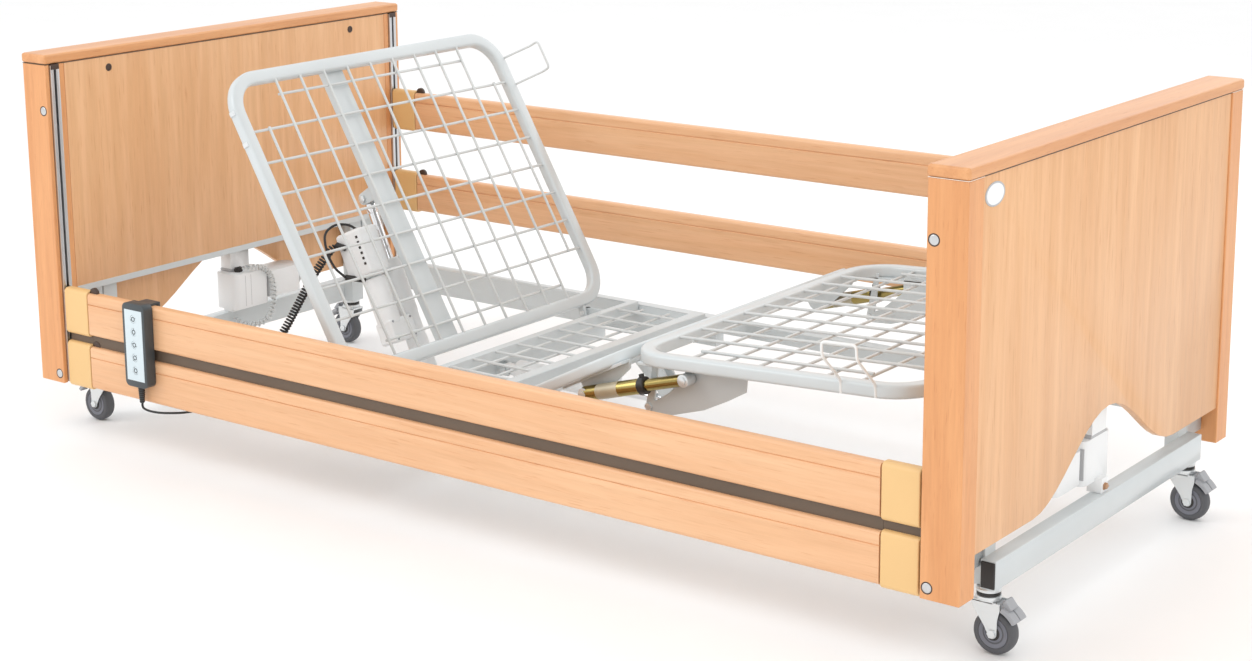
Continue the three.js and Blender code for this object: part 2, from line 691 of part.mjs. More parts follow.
function handset() {
  const railFace = RAIL_OUTER.near;
  const shell = roundedSlab(
    HANDSET_X - HANDSET_WIDTH / 2, HANDSET_X + HANDSET_WIDTH / 2,
    HANDSET_BOTTOM, HANDSET_TOP, 12, 0, railFace - 1 - HANDSET_FRONT, 4,
  );
  const turned = shell.getMesh();
  const geometry = new THREE.BufferGeometry();
  geometry.setAttribute('position', new THREE.BufferAttribute(new Float32Array(turned.vertProperties), 3));
  geometry.setIndex(new THREE.BufferAttribute(new Uint32Array(turned.triVerts), 1));
  geometry.rotateX(Math.PI / 2);
  geometry.translate(0, railFace - 1, 0);
  const hookTop = RAIL_LEVELS.near.upper + RAIL_HEIGHT;
  let body = join([
    solid(geometry),
    block(HANDSET_X - 20, HANDSET_X + 20, railFace - 4, -491, hookTop + 0.6, hookTop + 5),
    block(HANDSET_X - 20, HANDSET_X + 20, -495.5, -491, hookTop - 30, hookTop + 5),
    cylinder([HANDSET_X, -534, HANDSET_BOTTOM + 2], [HANDSET_X, -534, 128], 7, 10, 4.5),
  ]);
  for (const z of BUTTON_LEVELS) {
    const pocket = cylinder([HANDSET_X, HANDSET_FRONT - 1, z], [HANDSET_X, HANDSET_FRONT + 3.5, z], 8.6, 16);
    body = body.subtract(pocket);
  }
  return body;
}

part('handset', handset(), SLATE_PLASTIC);

const BUTTON_NAMES = ['height', 'back', 'legs', 'profile', 'lock'];
BUTTON_NAMES.forEach((name, i) => {
  const z = BUTTON_LEVELS[BUTTON_LEVELS.length - 1 - i];
  const button = cylinder([HANDSET_X, -547.3, z], [HANDSET_X, -544.2, z], BUTTON_RADIUS, 16);
  part(`handset_button_${name}`, button, ICE_PLASTIC);
});

const CURLY_END = [-655, -335, 158];
const HANDSET_ROUTE = [
  [HANDSET_X, -534, 127.2], [HANDSET_X, -534, 121], [-776, -534, 116], [-762, -533, 113], [-738, -528, 112], [-712, -517, 113],
  [-690, -500, 114], [-672, -478, 117], [-662, -450, 122], [-658, -410, 128], [-656, -375, 136],
  [-655, -350, 148], CURLY_END,
];
const CURLY_ROUTE = [
  [-550, -194, 424], [-564, -204, 404], [-588, -223, 360], [-612, -243, 304], [-632, -262, 254],
  [-646, -286, 212], [-653, -312, 180], [-655, -333, 159],
];
part('handset_cord', hose(HANDSET_ROUTE.slice(0, -1), 2.3, 8, 44), BLACK_PLASTIC);
part('curly_cord', hose(CURLY_ROUTE.slice(0, -1), 9.5, 12, 30), BLACK_PLASTIC);

const LIFT_CABLE_ROUTE = [
  [-1024, -14, 272], [-1012, -4, 275], [-1002.5, 12, 274], [-1001, 30, 268], [-1001, 46, 254],
  [-1001, 57, 232], [-1001, 60, 204], [-1001, 55, 176], [-1004, 44, 150], [-1016, 26, 136],
  [-1036, 8, 134], [-1054, -4, 140], [-1063, -9, 152],
];
part('head_lift_cable', hose(LIFT_CABLE_ROUTE, 4.5, 8, 36), WHITE_PLASTIC);

export default bed;
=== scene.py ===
"""Studio picture of an adjustable hospital bed with beech boards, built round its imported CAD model."""

import json
from math import atan2, copysign, cos, degrees, pi, radians, sin

import bmesh
import bpy
from mathutils import Matrix, Vector


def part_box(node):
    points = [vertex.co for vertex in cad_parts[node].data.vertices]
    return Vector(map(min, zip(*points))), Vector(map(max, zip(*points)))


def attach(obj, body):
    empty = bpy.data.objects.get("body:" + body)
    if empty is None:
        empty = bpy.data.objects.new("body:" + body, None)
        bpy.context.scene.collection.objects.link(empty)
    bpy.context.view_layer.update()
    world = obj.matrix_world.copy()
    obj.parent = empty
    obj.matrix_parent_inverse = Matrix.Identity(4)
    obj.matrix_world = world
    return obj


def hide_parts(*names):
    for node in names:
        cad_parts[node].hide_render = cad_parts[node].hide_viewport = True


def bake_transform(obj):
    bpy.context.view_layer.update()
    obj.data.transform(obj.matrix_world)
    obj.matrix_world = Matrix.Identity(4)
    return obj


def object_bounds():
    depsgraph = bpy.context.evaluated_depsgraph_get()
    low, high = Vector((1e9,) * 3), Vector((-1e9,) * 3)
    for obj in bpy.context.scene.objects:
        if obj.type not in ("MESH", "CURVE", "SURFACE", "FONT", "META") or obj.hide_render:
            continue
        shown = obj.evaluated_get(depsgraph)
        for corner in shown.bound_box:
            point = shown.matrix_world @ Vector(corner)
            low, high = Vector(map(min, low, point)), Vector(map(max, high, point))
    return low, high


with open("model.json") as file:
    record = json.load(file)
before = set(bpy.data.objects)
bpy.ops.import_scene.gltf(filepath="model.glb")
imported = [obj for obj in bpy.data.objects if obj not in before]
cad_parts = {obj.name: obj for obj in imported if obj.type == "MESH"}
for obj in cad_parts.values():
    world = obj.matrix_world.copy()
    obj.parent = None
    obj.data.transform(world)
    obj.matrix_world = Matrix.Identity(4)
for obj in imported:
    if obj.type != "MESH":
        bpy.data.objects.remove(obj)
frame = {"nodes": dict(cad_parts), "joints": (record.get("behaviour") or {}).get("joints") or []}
scene = bpy.context.scene
cad_low, cad_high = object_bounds()
joints = {joint["name"]: joint for joint in frame["joints"]}

# ---- driving dimensions, metres

MM = 0.001
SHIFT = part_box("seat_panel")[0].y + 0.4237
ENDS = (("head", -1), ("foot", 1))
SIDES = (("near", -1), ("far", 1))
WIRE_PITCH = 69.5 * MM
WIRE_RADIUS = 2.9 * MM
TUBE = 28 * MM
HALF_WIDTH = 418 * MM
CORNER = 85 * MM
CAP_THICKNESS = 20 * MM
POST_INNER = 482 * MM
POST_OUTER = 531 * MM
BRACKET_INNER = 377 * MM
BRACKET_OUTER = 382 * MM


def pivot(name):
    return Vector(joints[name]["pos_m"])


# ---- camera


def aim_camera():
    azimuth, elevation, roll = 0.64220833, 0.21112898, -0.00731807
    position = (2.6689115, -3.4754779 + SHIFT, 1.4684925)
    data = bpy.data.cameras.new("camera")
    camera = bpy.data.objects.new("camera", data)
    scene.collection.objects.link(camera)
    back = Vector((
        sin(azimuth) * cos(elevation),
        -cos(azimuth) * cos(elevation),
        sin(elevation),
    ))
    right = (-back).cross(Vector((0, 0, 1))).normalized()
    up = right.cross(-back)
    turned_right = right * cos(roll) + up * sin(roll)
    turned_up = up * cos(roll) - right * sin(roll)
    rotation = Matrix((turned_right, turned_up, back)).transposed().to_4x4()
    camera.matrix_world = Matrix.Translation(position) @ rotation
    data.lens = 64.85
    data.sensor_width = 36
    data.shift_x = -0.0039
    data.shift_y = -0.0958
    data.clip_end = 60
    scene.camera = camera


aim_camera()

# ---- materials


def blank_material(name):
    material = bpy.data.materials.new(name)
    material.use_nodes = True
    return material, material.node_tree, material.node_tree.nodes["Principled BSDF"]


def add_node(tree, kind, **inputs):
    """A shader node with each input set to a value or linked to another node's output."""
    node = tree.nodes.new(f"ShaderNode{kind}")
    for name, value in inputs.items():
        socket = node.inputs[name.replace("_", " ")]
        if isinstance(value, bpy.types.NodeSocket):
            tree.links.new(value, socket)
        else:
            socket.default_value = value
    return node


def texture_place(tree, scale):
    place = add_node(tree, "TexCoord").outputs["Object"]
    return add_node(tree, "Mapping", Vector=place, Scale=scale).outputs["Vector"]


def noise(tree, vector, scale, detail, roughness, distortion=0.0):
    node = add_node(tree, "TexNoise", Vector=vector, Scale=scale, Detail=detail, Roughness=roughness)
    node.inputs["Distortion"].default_value = distortion
    return node.outputs["Fac"]


def ramp(tree, factor, stops):
    node = add_node(tree, "ValToRGB", Fac=factor)
    elements = node.color_ramp.elements
    while len(elements) < len(stops):
        elements.new(0.5)
    for element, (position, colour) in zip(elements, stops):
        element.position = position
        element.color = (*colour, 1)
    return node.outputs["Color"]


def multiply(tree, factor, first, second):
    """The first colour darkened by the second."""
    node = tree.nodes.new("ShaderNodeMix")
    node.data_type = "RGBA"
    node.blend_type = "MULTIPLY"
    node.inputs["Factor"].default_value = factor
    tree.links.new(first, node.inputs["A"])
    tree.links.new(second, node.inputs["B"])
    return node.outputs["Result"]


def add_bump(tree, shader, height, strength, distance):
    node = add_node(tree, "Bump", Height=height, Strength=strength, Distance=distance)
    tree.links.new(node.outputs["Normal"], shader.inputs["Normal"])


def vary_roughness(tree, shader, factor, low, high):
    node = add_node(tree, "MapRange", Value=factor, To_Min=low, To_Max=high)
    tree.links.new(node.outputs["Result"], shader.inputs["Roughness"])


def beech(name, grain, light, dark, fleck):
    """Lacquered beech whose grain runs along the axis where grain is small."""
    material, tree, shader = blank_material(name)
    place = texture_place(tree, grain)
    broad = noise(tree, place, 1.6, 5.0, 0.6, 1.2)
    halfway = tuple((a + b) / 2 for a, b in zip(light, dark))
    body = ramp(tree, broad, [(0.32, dark), (0.52, halfway), (0.7, light)])
    fine = noise(tree, place, 9.0, 6.0, 0.7)
    streaks = ramp(tree, fine, [(0.35, (0.86, 0.82, 0.78)), (0.6, WHITE)])
    mixed = multiply(tree, 0.55, body, streaks)
    flecks = noise(tree, texture_place(tree, tuple(6 * g for g in grain)), 5.0, 2.0, 0.5)
    spots = ramp(tree, flecks, [(0.62, WHITE), (0.72, fleck)])
    tree.links.new(multiply(tree, 0.5, mixed, spots), shader.inputs["Base Color"])
    vary_roughness(tree, shader, fine, 0.36, 0.5)
    shader.inputs["Coat Weight"].default_value = 0.18
    shader.inputs["Coat Roughness"].default_value = 0.28
    add_bump(tree, shader, fine, 0.12, 0.0006)
    return material


def coated(name, colour, roughness, metallic=0.0, coat=0.0, grain=420.0, bump=0.08, tone=0.05):
    """A painted, plated or moulded surface with a fine texture and a slight change of tone."""
    material, tree, shader = blank_material(name)
    place = texture_place(tree, (1, 1, 1))
    cloud = noise(tree, place, 5.0, 3.0, 0.5)
    darker = tuple(c * (1 - tone) for c in colour)
    tree.links.new(ramp(tree, cloud, [(0.35, darker), (0.65, colour)]), shader.inputs["Base Color"])
    fine = noise(tree, place, grain, 2.0, 0.5)
    vary_roughness(tree, shader, fine, roughness * 0.88, roughness * 1.12)
    shader.inputs["Metallic"].default_value = metallic
    shader.inputs["Coat Weight"].default_value = coat
    shader.inputs["Coat Roughness"].default_value = 0.2
    add_bump(tree, shader, fine, bump, 0.0004)
    return material


def brushed(name, colour, roughness, stretch):
    """Metal with drawing lines along the axis where stretch is small."""
    material, tree, shader = blank_material(name)
    place = texture_place(tree, stretch)
    lines = noise(tree, place, 60.0, 3.0, 0.6)
    darker = tuple(c * 0.86 for c in colour)
    tree.links.new(ramp(tree, lines, [(0.3, darker), (0.7, colour)]), shader.inputs["Base Color"])
    vary_roughness(tree, shader, lines, roughness * 0.8, roughness * 1.2)
    shader.inputs["Metallic"].default_value = 1.0
    add_bump(tree, shader, lines, 0.06, 0.0003)
    return material


WHITE = (1, 1, 1)
BEECH_FLECK = (0.78, 0.62, 0.5)
BEECH_LIGHT = (0.83, 0.5, 0.27)
BEECH_DARK = (0.72, 0.39, 0.185)
PANEL_BEECH = beech("panel_beech", (9, 9, 0.55), BEECH_LIGHT, BEECH_DARK, BEECH_FLECK)
EDGE_BEECH = beech("edge_beech", (14, 14, 0.8), (0.78, 0.38, 0.16), (0.68, 0.3, 0.115), BEECH_FLECK)
CAP_BEECH = beech("cap_beech", (14, 0.8, 14), (0.77, 0.39, 0.17), (0.66, 0.3, 0.12), BEECH_FLECK)
RAIL_BEECH = beech("rail_beech", (0.5, 12, 12), (0.84, 0.51, 0.29), (0.75, 0.41, 0.21), (0.8, 0.64, 0.54))
OCHRE_PLASTIC = coated("ochre_plastic", (0.8, 0.52, 0.23), 0.42, grain=300.0)
GREY_PAINT = coated("grey_paint", (0.6, 0.64, 0.65), 0.3, coat=0.35)
WIRE_PAINT = coated("wire_paint", (0.63, 0.65, 0.645), 0.34, coat=0.25)
# A lighter copy of the wire paint: painted highlight for the calf's retainer loops.
LIT_WIRE_PAINT = coated("wire_paint_lit_copy", (0.82, 0.83, 0.82), 0.34, coat=0.25)
ALUMINIUM = brushed("aluminium", (0.66, 0.67, 0.68), 0.34, (40, 40, 0.6))
CHROME = coated("chrome", (0.82, 0.83, 0.85), 0.09, metallic=1.0, bump=0.01, tone=0.02)
ZINC = coated("zinc", (0.74, 0.77, 0.78), 0.3, metallic=0.6, grain=180.0, bump=0.03, tone=0.06)
GOLD = coated("gold_zinc", (0.42, 0.33, 0.12), 0.24, metallic=1.0, grain=140.0, bump=0.05, tone=0.25)
COPPER = coated("copper_bolt", (0.55, 0.33, 0.2), 0.35, metallic=1.0, tone=0.15)
WHITE_PLASTIC = coated("white_plastic", (0.84, 0.855, 0.86), 0.42, grain=600.0)
GREY_PLASTIC = coated("grey_plastic", (0.36, 0.37, 0.39), 0.45, grain=500.0)
HUB_PLASTIC = coated("hub_plastic", (0.17, 0.175, 0.205), 0.42, grain=500.0)
SEAM_GREY = coated("seam_grey", (0.46, 0.465, 0.475), 0.5, grain=500.0)
SLATE = coated("slate_plastic", (0.055, 0.066, 0.072), 0.4, grain=700.0)
ICE = coated("ice_membrane", (0.63, 0.72, 0.76), 0.36, grain=300.0)
BLACK = coated("black_plastic", (0.022, 0.02, 0.019), 0.42, grain=500.0, bump=0.12)
BROWN = coated("brown_plastic", (0.06, 0.035, 0.025), 0.5, grain=500.0)
# Umber for the dark joints under the caps and head posts, and painted shade for the near rail gap.
UMBER_SEAM_AND_SHADE = coated("umber_seam_and_painted_shade", (0.135, 0.095, 0.065), 0.55, grain=260.0, tone=0.12)
CABLE = coated("cable_sheath", (0.016, 0.016, 0.017), 0.5, grain=800.0, bump=0.15)
LABEL = coated("blank_label", (0.84, 0.86, 0.87), 0.5, grain=200.0)
PALE_SEAM = coated("pale_seam", (0.86, 0.72, 0.6), 0.5, grain=200.0)
FOIL = coated("worn_foil", (0.62, 0.55, 0.4), 0.35, metallic=0.3, grain=90.0, bump=0.04, tone=0.45)
RUBBER = coated("tyre_rubber", (0.092, 0.094, 0.102), 0.6, grain=900.0, bump=0.2)

# ---- mesh tools


def smooth(mesh, degrees=35):
    mesh.shade_smooth()
    mesh.set_sharp_from_angle(angle=radians(degrees))


def soften(piece, width, segments=2, degrees=32):
    weld = piece.modifiers.new("weld", "WELD")
    weld.merge_threshold = 0.00002
    bevel = piece.modifiers.new("bevel", "BEVEL")
    bevel.width = width
    bevel.segments = segments
    bevel.limit_method = "ANGLE"
    bevel.angle_limit = radians(degrees)
    bevel.use_clamp_overlap = True
    bevel.harden_normals = True


def make_piece(name, bm, material, body="bed", slot=None, bevel=0.0, replaces=None):
    """A new piece on a body; its slot argument is not used."""
    mesh = bpy.data.meshes.new(name)
    bmesh.ops.recalc_face_normals(bm, faces=bm.faces)
    bm.to_mesh(mesh)
    bm.free()
    piece = bpy.data.objects.new(name, mesh)
    scene.collection.objects.link(piece)
    mesh.materials.append(material)
    if bevel:
        mesh.shade_smooth()
        soften(piece, bevel)
    else:
        smooth(mesh)
    if replaces:
        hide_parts(replaces)
    if body:
        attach(piece, body)
    return piece


def add_box(bm, low, high):
    low, high = Vector(low), Vector(high)
    size = high - low
    scale = Matrix.Diagonal((abs(size.x), abs(size.y), abs(size.z), 1))
    bmesh.ops.create_cube(bm, size=1, matrix=Matrix.Translation((low + high) / 2) @ scale)


def add_bar(bm, x_low, x_high, y, half, z_low, z_high):
    """A box that reaches as far to either side of y."""
    add_box(bm, (x_low, y - half, z_low), (x_high, y + half, z_high))


def axis_frame(origin, direction):
    z = Vector(direction).normalized()
    helper = Vector((0, 0, 1)) if abs(z.z) < 0.9 else Vector((1, 0, 0))
    x = helper.cross(z).normalized()
    y = z.cross(x)
    matrix = Matrix((x, y, z)).transposed().to_4x4()
    matrix.translation = Vector(origin)
    return matrix


def add_lathe(bm, origin, direction, profile, segments=32, capped=True):
    """Spins (distance along, radius) points about an axis, with flat ends if it is capped."""
    matrix = axis_frame(origin, direction)
    rings = []
    if capped:
        profile = [(profile[0][0], 0), *profile, (profile[-1][0], 0)]
    for along, radius in profile:
        if radius < 1e-7:
            rings.append([bm.verts.new(matrix @ Vector((0, 0, along)))])
            continue
        ring = []
        for i in range(segments):
            angle = 2 * pi * i / segments
            ring.append(bm.verts.new(matrix @ Vector((radius * cos(angle), radius * sin(angle), along))))
        rings.append(ring)
    for lower, upper in zip(rings, rings[1:]):
        for i in range(segments):
            j = (i + 1) % segments
            corners = [
                lower[i % len(lower)], lower[j % len(lower)], upper[j % len(upper)], upper[i % len(upper)],
            ]
            unique = list(dict.fromkeys(corners))
            if len(unique) > 2:
                bm.faces.new(unique)


def add_rod(bm, start, end, radius, edge=0.0008, segments=24):
    start, end = Vector(start), Vector(end)
    length = (end - start).length
    edge = min(edge, radius * 0.6, length * 0.4)
    step, waist = edge * 0.3, radius - edge
    profile = [(0, waist), (step, radius - step), (edge, radius)]
    profile += [(length - edge, radius), (length - step, radius - step), (length, waist)]
    add_lathe(bm, start, end - start, profile, segments)


def cross_rod(bm, x, y_start, y_end, z, *rest, **more):
    """A rod across the bed."""
    add_rod(bm, (x, y_start, z), (x, y_end, z), *rest, **more)


def bridge(bm, lower, upper):
    """The band of faces between two rings of as many points."""
    for i in range(len(lower)):
        j = (i + 1) % len(lower)
        bm.faces.new((lower[i], lower[j], upper[j], upper[i]))


def fillet(points, radius, steps=6):
    """The points with each inner corner rounded."""
    points = [Vector(p) for p in points]
    rounded = [points[0]]
    for before, corner, after in zip(points, points[1:], points[2:]):
        reach = min(radius, (before - corner).length * 0.45, (after - corner).length * 0.45)
        first = corner + (before - corner).normalized() * reach
        last = corner + (after - corner).normalized() * reach
        for i in range(steps + 1):
            t = i / steps
            rounded.append(first * (1 - t) ** 2 + corner * 2 * t * (1 - t) + last * t**2)
    rounded.append(points[-1])
    return rounded


def smooth_route(points, steps=8):
    """A Catmull-Rom curve through the points."""
    points = [Vector(p) for p in points]
    padded = [points[0] * 2 - points[1], *points, points[-1] * 2 - points[-2]]
    route = []
    for a, b, c, d in zip(padded, padded[1:], padded[2:], padded[3:]):
        for i in range(steps):
            t = i / steps
            route.append(
                0.5 * (
                    2 * b + (c - a) * t + (2 * a - 5 * b + 4 * c - d) * t**2 + (3 * b - a - 3 * c + d) * t**3
                )
            )
    route.append(points[-1])
    return route


def path_frames(points):
    """A normal and binormal at each point, carried along without twisting."""
    tangents = []
    for i, _ in enumerate(points):
        ahead = points[min(i + 1, len(points) - 1)]
        behind = points[max(i - 1, 0)]
        tangents.append((ahead - behind).normalized())
    first = Vector((0, 0, 1)) if abs(tangents[0].z) < 0.9 else Vector((1, 0, 0))
    normal = tangents[0].cross(first).normalized()
    frames = []
    for i, tangent in enumerate(tangents):
        if i:
            normal = tangents[i - 1].rotation_difference(tangent) @ normal
            normal = (normal - tangent * normal.dot(tangent)).normalized()
        frames.append((normal.copy(), tangent.cross(normal)))
    return frames


def add_tube(bm, points, radius, sides=10):
    points = [Vector(p) for p in points]
    rings = []
    for point, (normal, side) in zip(points, path_frames(points)):
        ring = []
        for i in range(sides):
            angle = 2 * pi * i / sides
            ring.append(bm.verts.new(point + (normal * cos(angle) + side * sin(angle)) * radius))
        rings.append(ring)
    for lower, upper in zip(rings, rings[1:]):
        bridge(bm, lower, upper)
    bm.faces.new(rings[0])
    bm.faces.new(reversed(rings[-1]))


def add_plate(bm, outline, low, high, plane="XZ"):
    """Fills an outline of the plane from low to high along the third axis."""
    rings = []
    for depth in (low, high):
        ring = []
        for a, b in outline:
            point = {"XZ": (a, depth, b), "YZ": (depth, a, b), "XY": (a, b, depth)}[plane]
            ring.append(bm.verts.new(point))
        rings.append(ring)
    bridge(bm, *rings)
    bm.faces.new(rings[0])
    bm.faces.new(reversed(rings[1]))


def tilt(origin, y, degrees):
    """The frame whose +X leaves (x, z) at an angle above the floor, as the CAD sections have."""
    matrix = Matrix.Rotation(-radians(degrees), 4, "Y")
    matrix.translation = Vector((origin[0], y, origin[1]))
    return matrix


def rounded_outline(a_low, a_high, b_low, b_high, radius, steps=5, groove=None):
    """A rectangle with round corners, and a V groove in both sides where one is given."""
    outline = []
    corners = (
        (a_high - radius, b_low + radius), (a_high - radius, b_high - radius),
        (a_low + radius, b_high - radius), (a_low + radius, b_low + radius),
    )
    for i, corner in enumerate(corners):
        outline += arc(corner, radius, 90 * i - 90, 90 * i, steps)
        if groove and i in (0, 2):
            face, way = (a_high, 1) if i == 0 else (a_low, -1)
            rise = way * 0.0016
            outline += [(face, groove - rise), (face - way * 0.0022, groove), (face, groove + rise)]
    return outline


def arc(centre, radius, start, stop, steps):
    points = []
    for i in range(steps + 1):
        angle = radians(start + (stop - start) * i / steps)
        points.append((centre[0] + radius * cos(angle), centre[1] + radius * sin(angle)))
    return points

# ---- cords

HANDSET_ROUTE = [
    (-780, -534, 127.2), (-780, -534, 121), (-776, -534, 116), (-762, -533, 113), (-738, -528, 112),
    (-712, -517, 113), (-690, -500, 114), (-672, -478, 117), (-662, -450, 122), (-658, -410, 128),
    (-656, -375, 136), (-655, -350, 148),
]
CURLY_ROUTE = [
    (-550, -194, 424), (-564, -204, 404), (-588, -223, 360), (-612, -243, 304), (-632, -262, 254),
    (-646, -286, 212), (-653, -312, 180),
]
LIFT_CABLE_ROUTE = [
    (-1024, -14, 272), (-1012, -4, 275), (-1002.5, 12, 274), (-1001, 30, 268), (-1001, 46, 254),
    (-1001, 57, 232), (-1001, 60, 204), (-1001, 55, 176), (-1004, 44, 150), (-1016, 26, 136),
    (-1036, 8, 134), (-1054, -4, 140), (-1063, -9, 152),
]


def in_frame(points):
    return [Vector((x * MM, y * MM + SHIFT, z * MM)) for x, y, z in points]


def route_length(points):
    return sum((b - a).length for a, b in zip(points, points[1:]))


def cord_piece(name, points, radius, material, slot, node, sides=10):
    bm = bmesh.new()
    add_tube(bm, points, radius, sides)
    return make_piece(name, bm, material, None, slot, replaces=node)


def helix(route, radius, pitch, steps=12):
    """A coil round a route, with its ends drawn in to the route's own line."""
    total = route_length(route)
    turns = total / pitch
    count = int(turns * steps)
    frames = path_frames(route)
    lengths = [0.0]
    for a, b in zip(route, route[1:]):
        lengths.append(lengths[-1] + (b - a).length)
    points = []
    segment = 0
    for i in range(count + 1):
        along = total * i / count
        while segment < len(route) - 2 and lengths[segment + 1] < along:
            segment += 1
        t = (along - lengths[segment]) / (lengths[segment + 1] - lengths[segment])
        centre = route[segment].lerp(route[segment + 1], t)
        normal, side = frames[segment]
        grow = min(1, along / (pitch * 1.5), (total - along) / (pitch * 1.5))
        angle = 2 * pi * i / steps
        points.append(centre + (normal * cos(angle) + side * sin(angle)) * radius * grow)
    return points


def make_cords():
    handset_path = smooth_route(in_frame(HANDSET_ROUTE), 6)
    cord = cord_piece("handset_cable", handset_path, 0.0023, CABLE, "black_cable", "handset_cord")
    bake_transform(cord)
    curly_path = helix(smooth_route(in_frame(CURLY_ROUTE), 8), radius=0.0071, pitch=0.0066)
    curly = cord_piece("curly_cable", curly_path, 0.0022, CABLE, "black_cable", "curly_cord", 8)
    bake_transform(curly)
    lift_path = helix(smooth_route(in_frame(LIFT_CABLE_ROUTE), 6), radius=0.0052, pitch=0.0098)
    # The white coiled lead is drawn in the darker wire grey: painted shade on its turns.
    lift = cord_piece("lift_cable", lift_path, 0.002, WIRE_PAINT, "white_plastic", "head_lift_cable")
    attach(lift, "head_trolley")


make_cords()

# ---- boards


def keep(node, material, width):
    """A CAD node shown as it is, with eased edges."""
    piece = frame["nodes"][node]
    piece.data.materials.clear()
    piece.data.materials.append(material)
    piece.data.shade_smooth()
    soften(piece, width)


def make_board(end, s):
    low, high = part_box(f"{end}_board_surround")
    outer_low, outer_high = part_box(f"{end}_board_outer_panel")
    inner_low, inner_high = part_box(f"{end}_board_inner_panel")
    cap_bottom = high.z - CAP_THICKNESS
    bm = bmesh.new()
    add_box(bm, (low.x, low.y, cap_bottom), high)
    make_piece(f"{end}_cap", bm, CAP_BEECH, bevel=0.005, replaces=f"{end}_board_surround")
    post_in, post_out = s * 1.027, s * 1.098
    bm, seams = bmesh.new(), bmesh.new()
    for side, t in SIDES:
        track_low, track_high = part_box(f"{end}_{side}_rail_track")
        groove_in, groove_out = sorted((track_low.y, track_high.y), key=lambda y: t * y)
        y_in, y_out = SHIFT + t * POST_INNER, SHIFT + t * POST_OUTER
        depth = s * 1.0424
        outline = [
            (post_in, y_in), (post_in, groove_in - t * 0.0003), (depth, groove_in - t * 0.0003),
            (depth, groove_out + t * 0.0003), (post_in, groove_out + t * 0.0003), (post_in, y_out),
            (post_out, y_out), (post_out, y_in),
        ]
        add_plate(bm, outline, low.z, cap_bottom - 0.0012, plane="XY")
        add_plate(seams, outline, cap_bottom - 0.0011, cap_bottom - 0.0001, plane="XY")
    make_piece(f"{end}_posts", bm, EDGE_BEECH, bevel=0.002)
    joint = PALE_SEAM if end == "foot" else UMBER_SEAM_AND_SHADE
    make_piece(f"{end}_post_seams", seams, joint, "bed", "beech_edge")
    keep(f"{end}_board_outer_panel", PANEL_BEECH, 0.001)
    keep(f"{end}_board_inner_panel", PANEL_BEECH, 0.001)
    bm = bmesh.new()
    strip_height = 0.013
    add_box(
        bm, (inner_low.x - 0.0006, inner_low.y + 0.0003, inner_low.z - 0.0006),
        (inner_high.x + 0.0006, inner_high.y - 0.0003, inner_low.z + strip_height),
    )
    make_piece(f"{end}_panel_strip", bm, GREY_PAINT, bevel=0.0012)
    bm = bmesh.new()
    outer_face = outer_high.x if s > 0 else outer_low.x
    inner_face = inner_low.x if s > 0 else inner_high.x
    for face, y_low, y_high in (
        (outer_face, outer_low.y, outer_high.y), (inner_face, inner_low.y, inner_high.y),
    ):
        add_box(
            bm, (face - 0.0006, y_low + 0.0005, cap_bottom - 0.0016),
            (face + 0.0006, y_high - 0.0005, cap_bottom - 0.0002),
        )
    make_piece(f"{end}_cap_seam", bm, UMBER_SEAM_AND_SHADE, "bed", "beech_edge")
    bm = bmesh.new()
    for t in (-1, 1):
        add_lathe(
            bm, (inner_face + s * 0.001, SHIFT + t * 0.365, 0.777), (-s, 0, 0),
            [(0, 0.0082), (0.0016, 0.008), (0.0022, 0.007), (0.0022, 0.0045), (0.0014, 0.004)], 28,
        )
    make_piece(f"{end}_panel_plugs", bm, BROWN)
    make_board_bolts(end, s)


def make_board_bolts(end, s):
    recess, dome = bmesh.new(), bmesh.new()
    for t in (-1, 1):
        for z in (0.145, 0.705):
            centre = Vector((s * 1.04, SHIFT + t * POST_OUTER, z))
            outward = Vector((0, t, 0))
            add_lathe(recess, centre - outward * 0.001, outward, [(0, 0.0105), (0.0011, 0.0105)], 28)
            rise = [(0.0002 + 0.0011 * sin(a), 0.0082 * cos(a)) for a in (0, 0.3, 0.6, 0.9, 1.2, 1.45)]
            add_lathe(dome, centre, outward, [(0, 0), (0, 0.0082), *rise, (0.0014, 0)], 28, capped=False)
    make_piece(f"{end}_bolt_recesses", recess, BROWN)
    make_piece(f"{end}_bolt_domes", dome, ALUMINIUM)


def make_tracks():
    for end, s in ENDS:
        for side, _ in SIDES:
            node = f"{end}_{side}_rail_track"
            keep(node, ALUMINIUM, 0.0006)
            low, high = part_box(node)
            middle = (low.y + high.y) / 2
            bm = bmesh.new()
            face = low.x if s > 0 else high.x
            add_bar(
                bm, face - s * 0.0004, face + s * 0.012, middle, 0.0108, high.z - 0.0095, high.z + 0.0015,
            )
            add_bar(bm, face + s * 0.0125, face + s * 0.0148, middle, 0.0029, low.z + 0.002, high.z - 0.012)
            make_piece(f"{end}_{side}_track_plug", bm, BROWN, bevel=0.0008)


def make_badge():
    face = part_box("foot_board_outer_panel")[1].x
    bm, rim = bmesh.new(), bmesh.new()
    for target, scale, depth in ((rim, 1.0, 0.0009), (bm, 0.86, 0.0013)):
        outline = [
            (SHIFT - 0.443 + 0.032 * scale * cos(a), 0.768 + 0.0195 * scale * sin(a))
            for a in (2 * pi * i / 40 for i in range(40))
        ]
        add_plate(target, outline, face - 0.0004, face + depth, plane="YZ")
    make_piece("badge_rim", rim, SEAM_GREY, bevel=0.0003)
    make_piece("badge_face", bm, LABEL, "bed", "ice_plastic", bevel=0.0003)


for end, s in ENDS:
    make_board(end, s)
make_tracks()
make_badge()

# ---- lifts


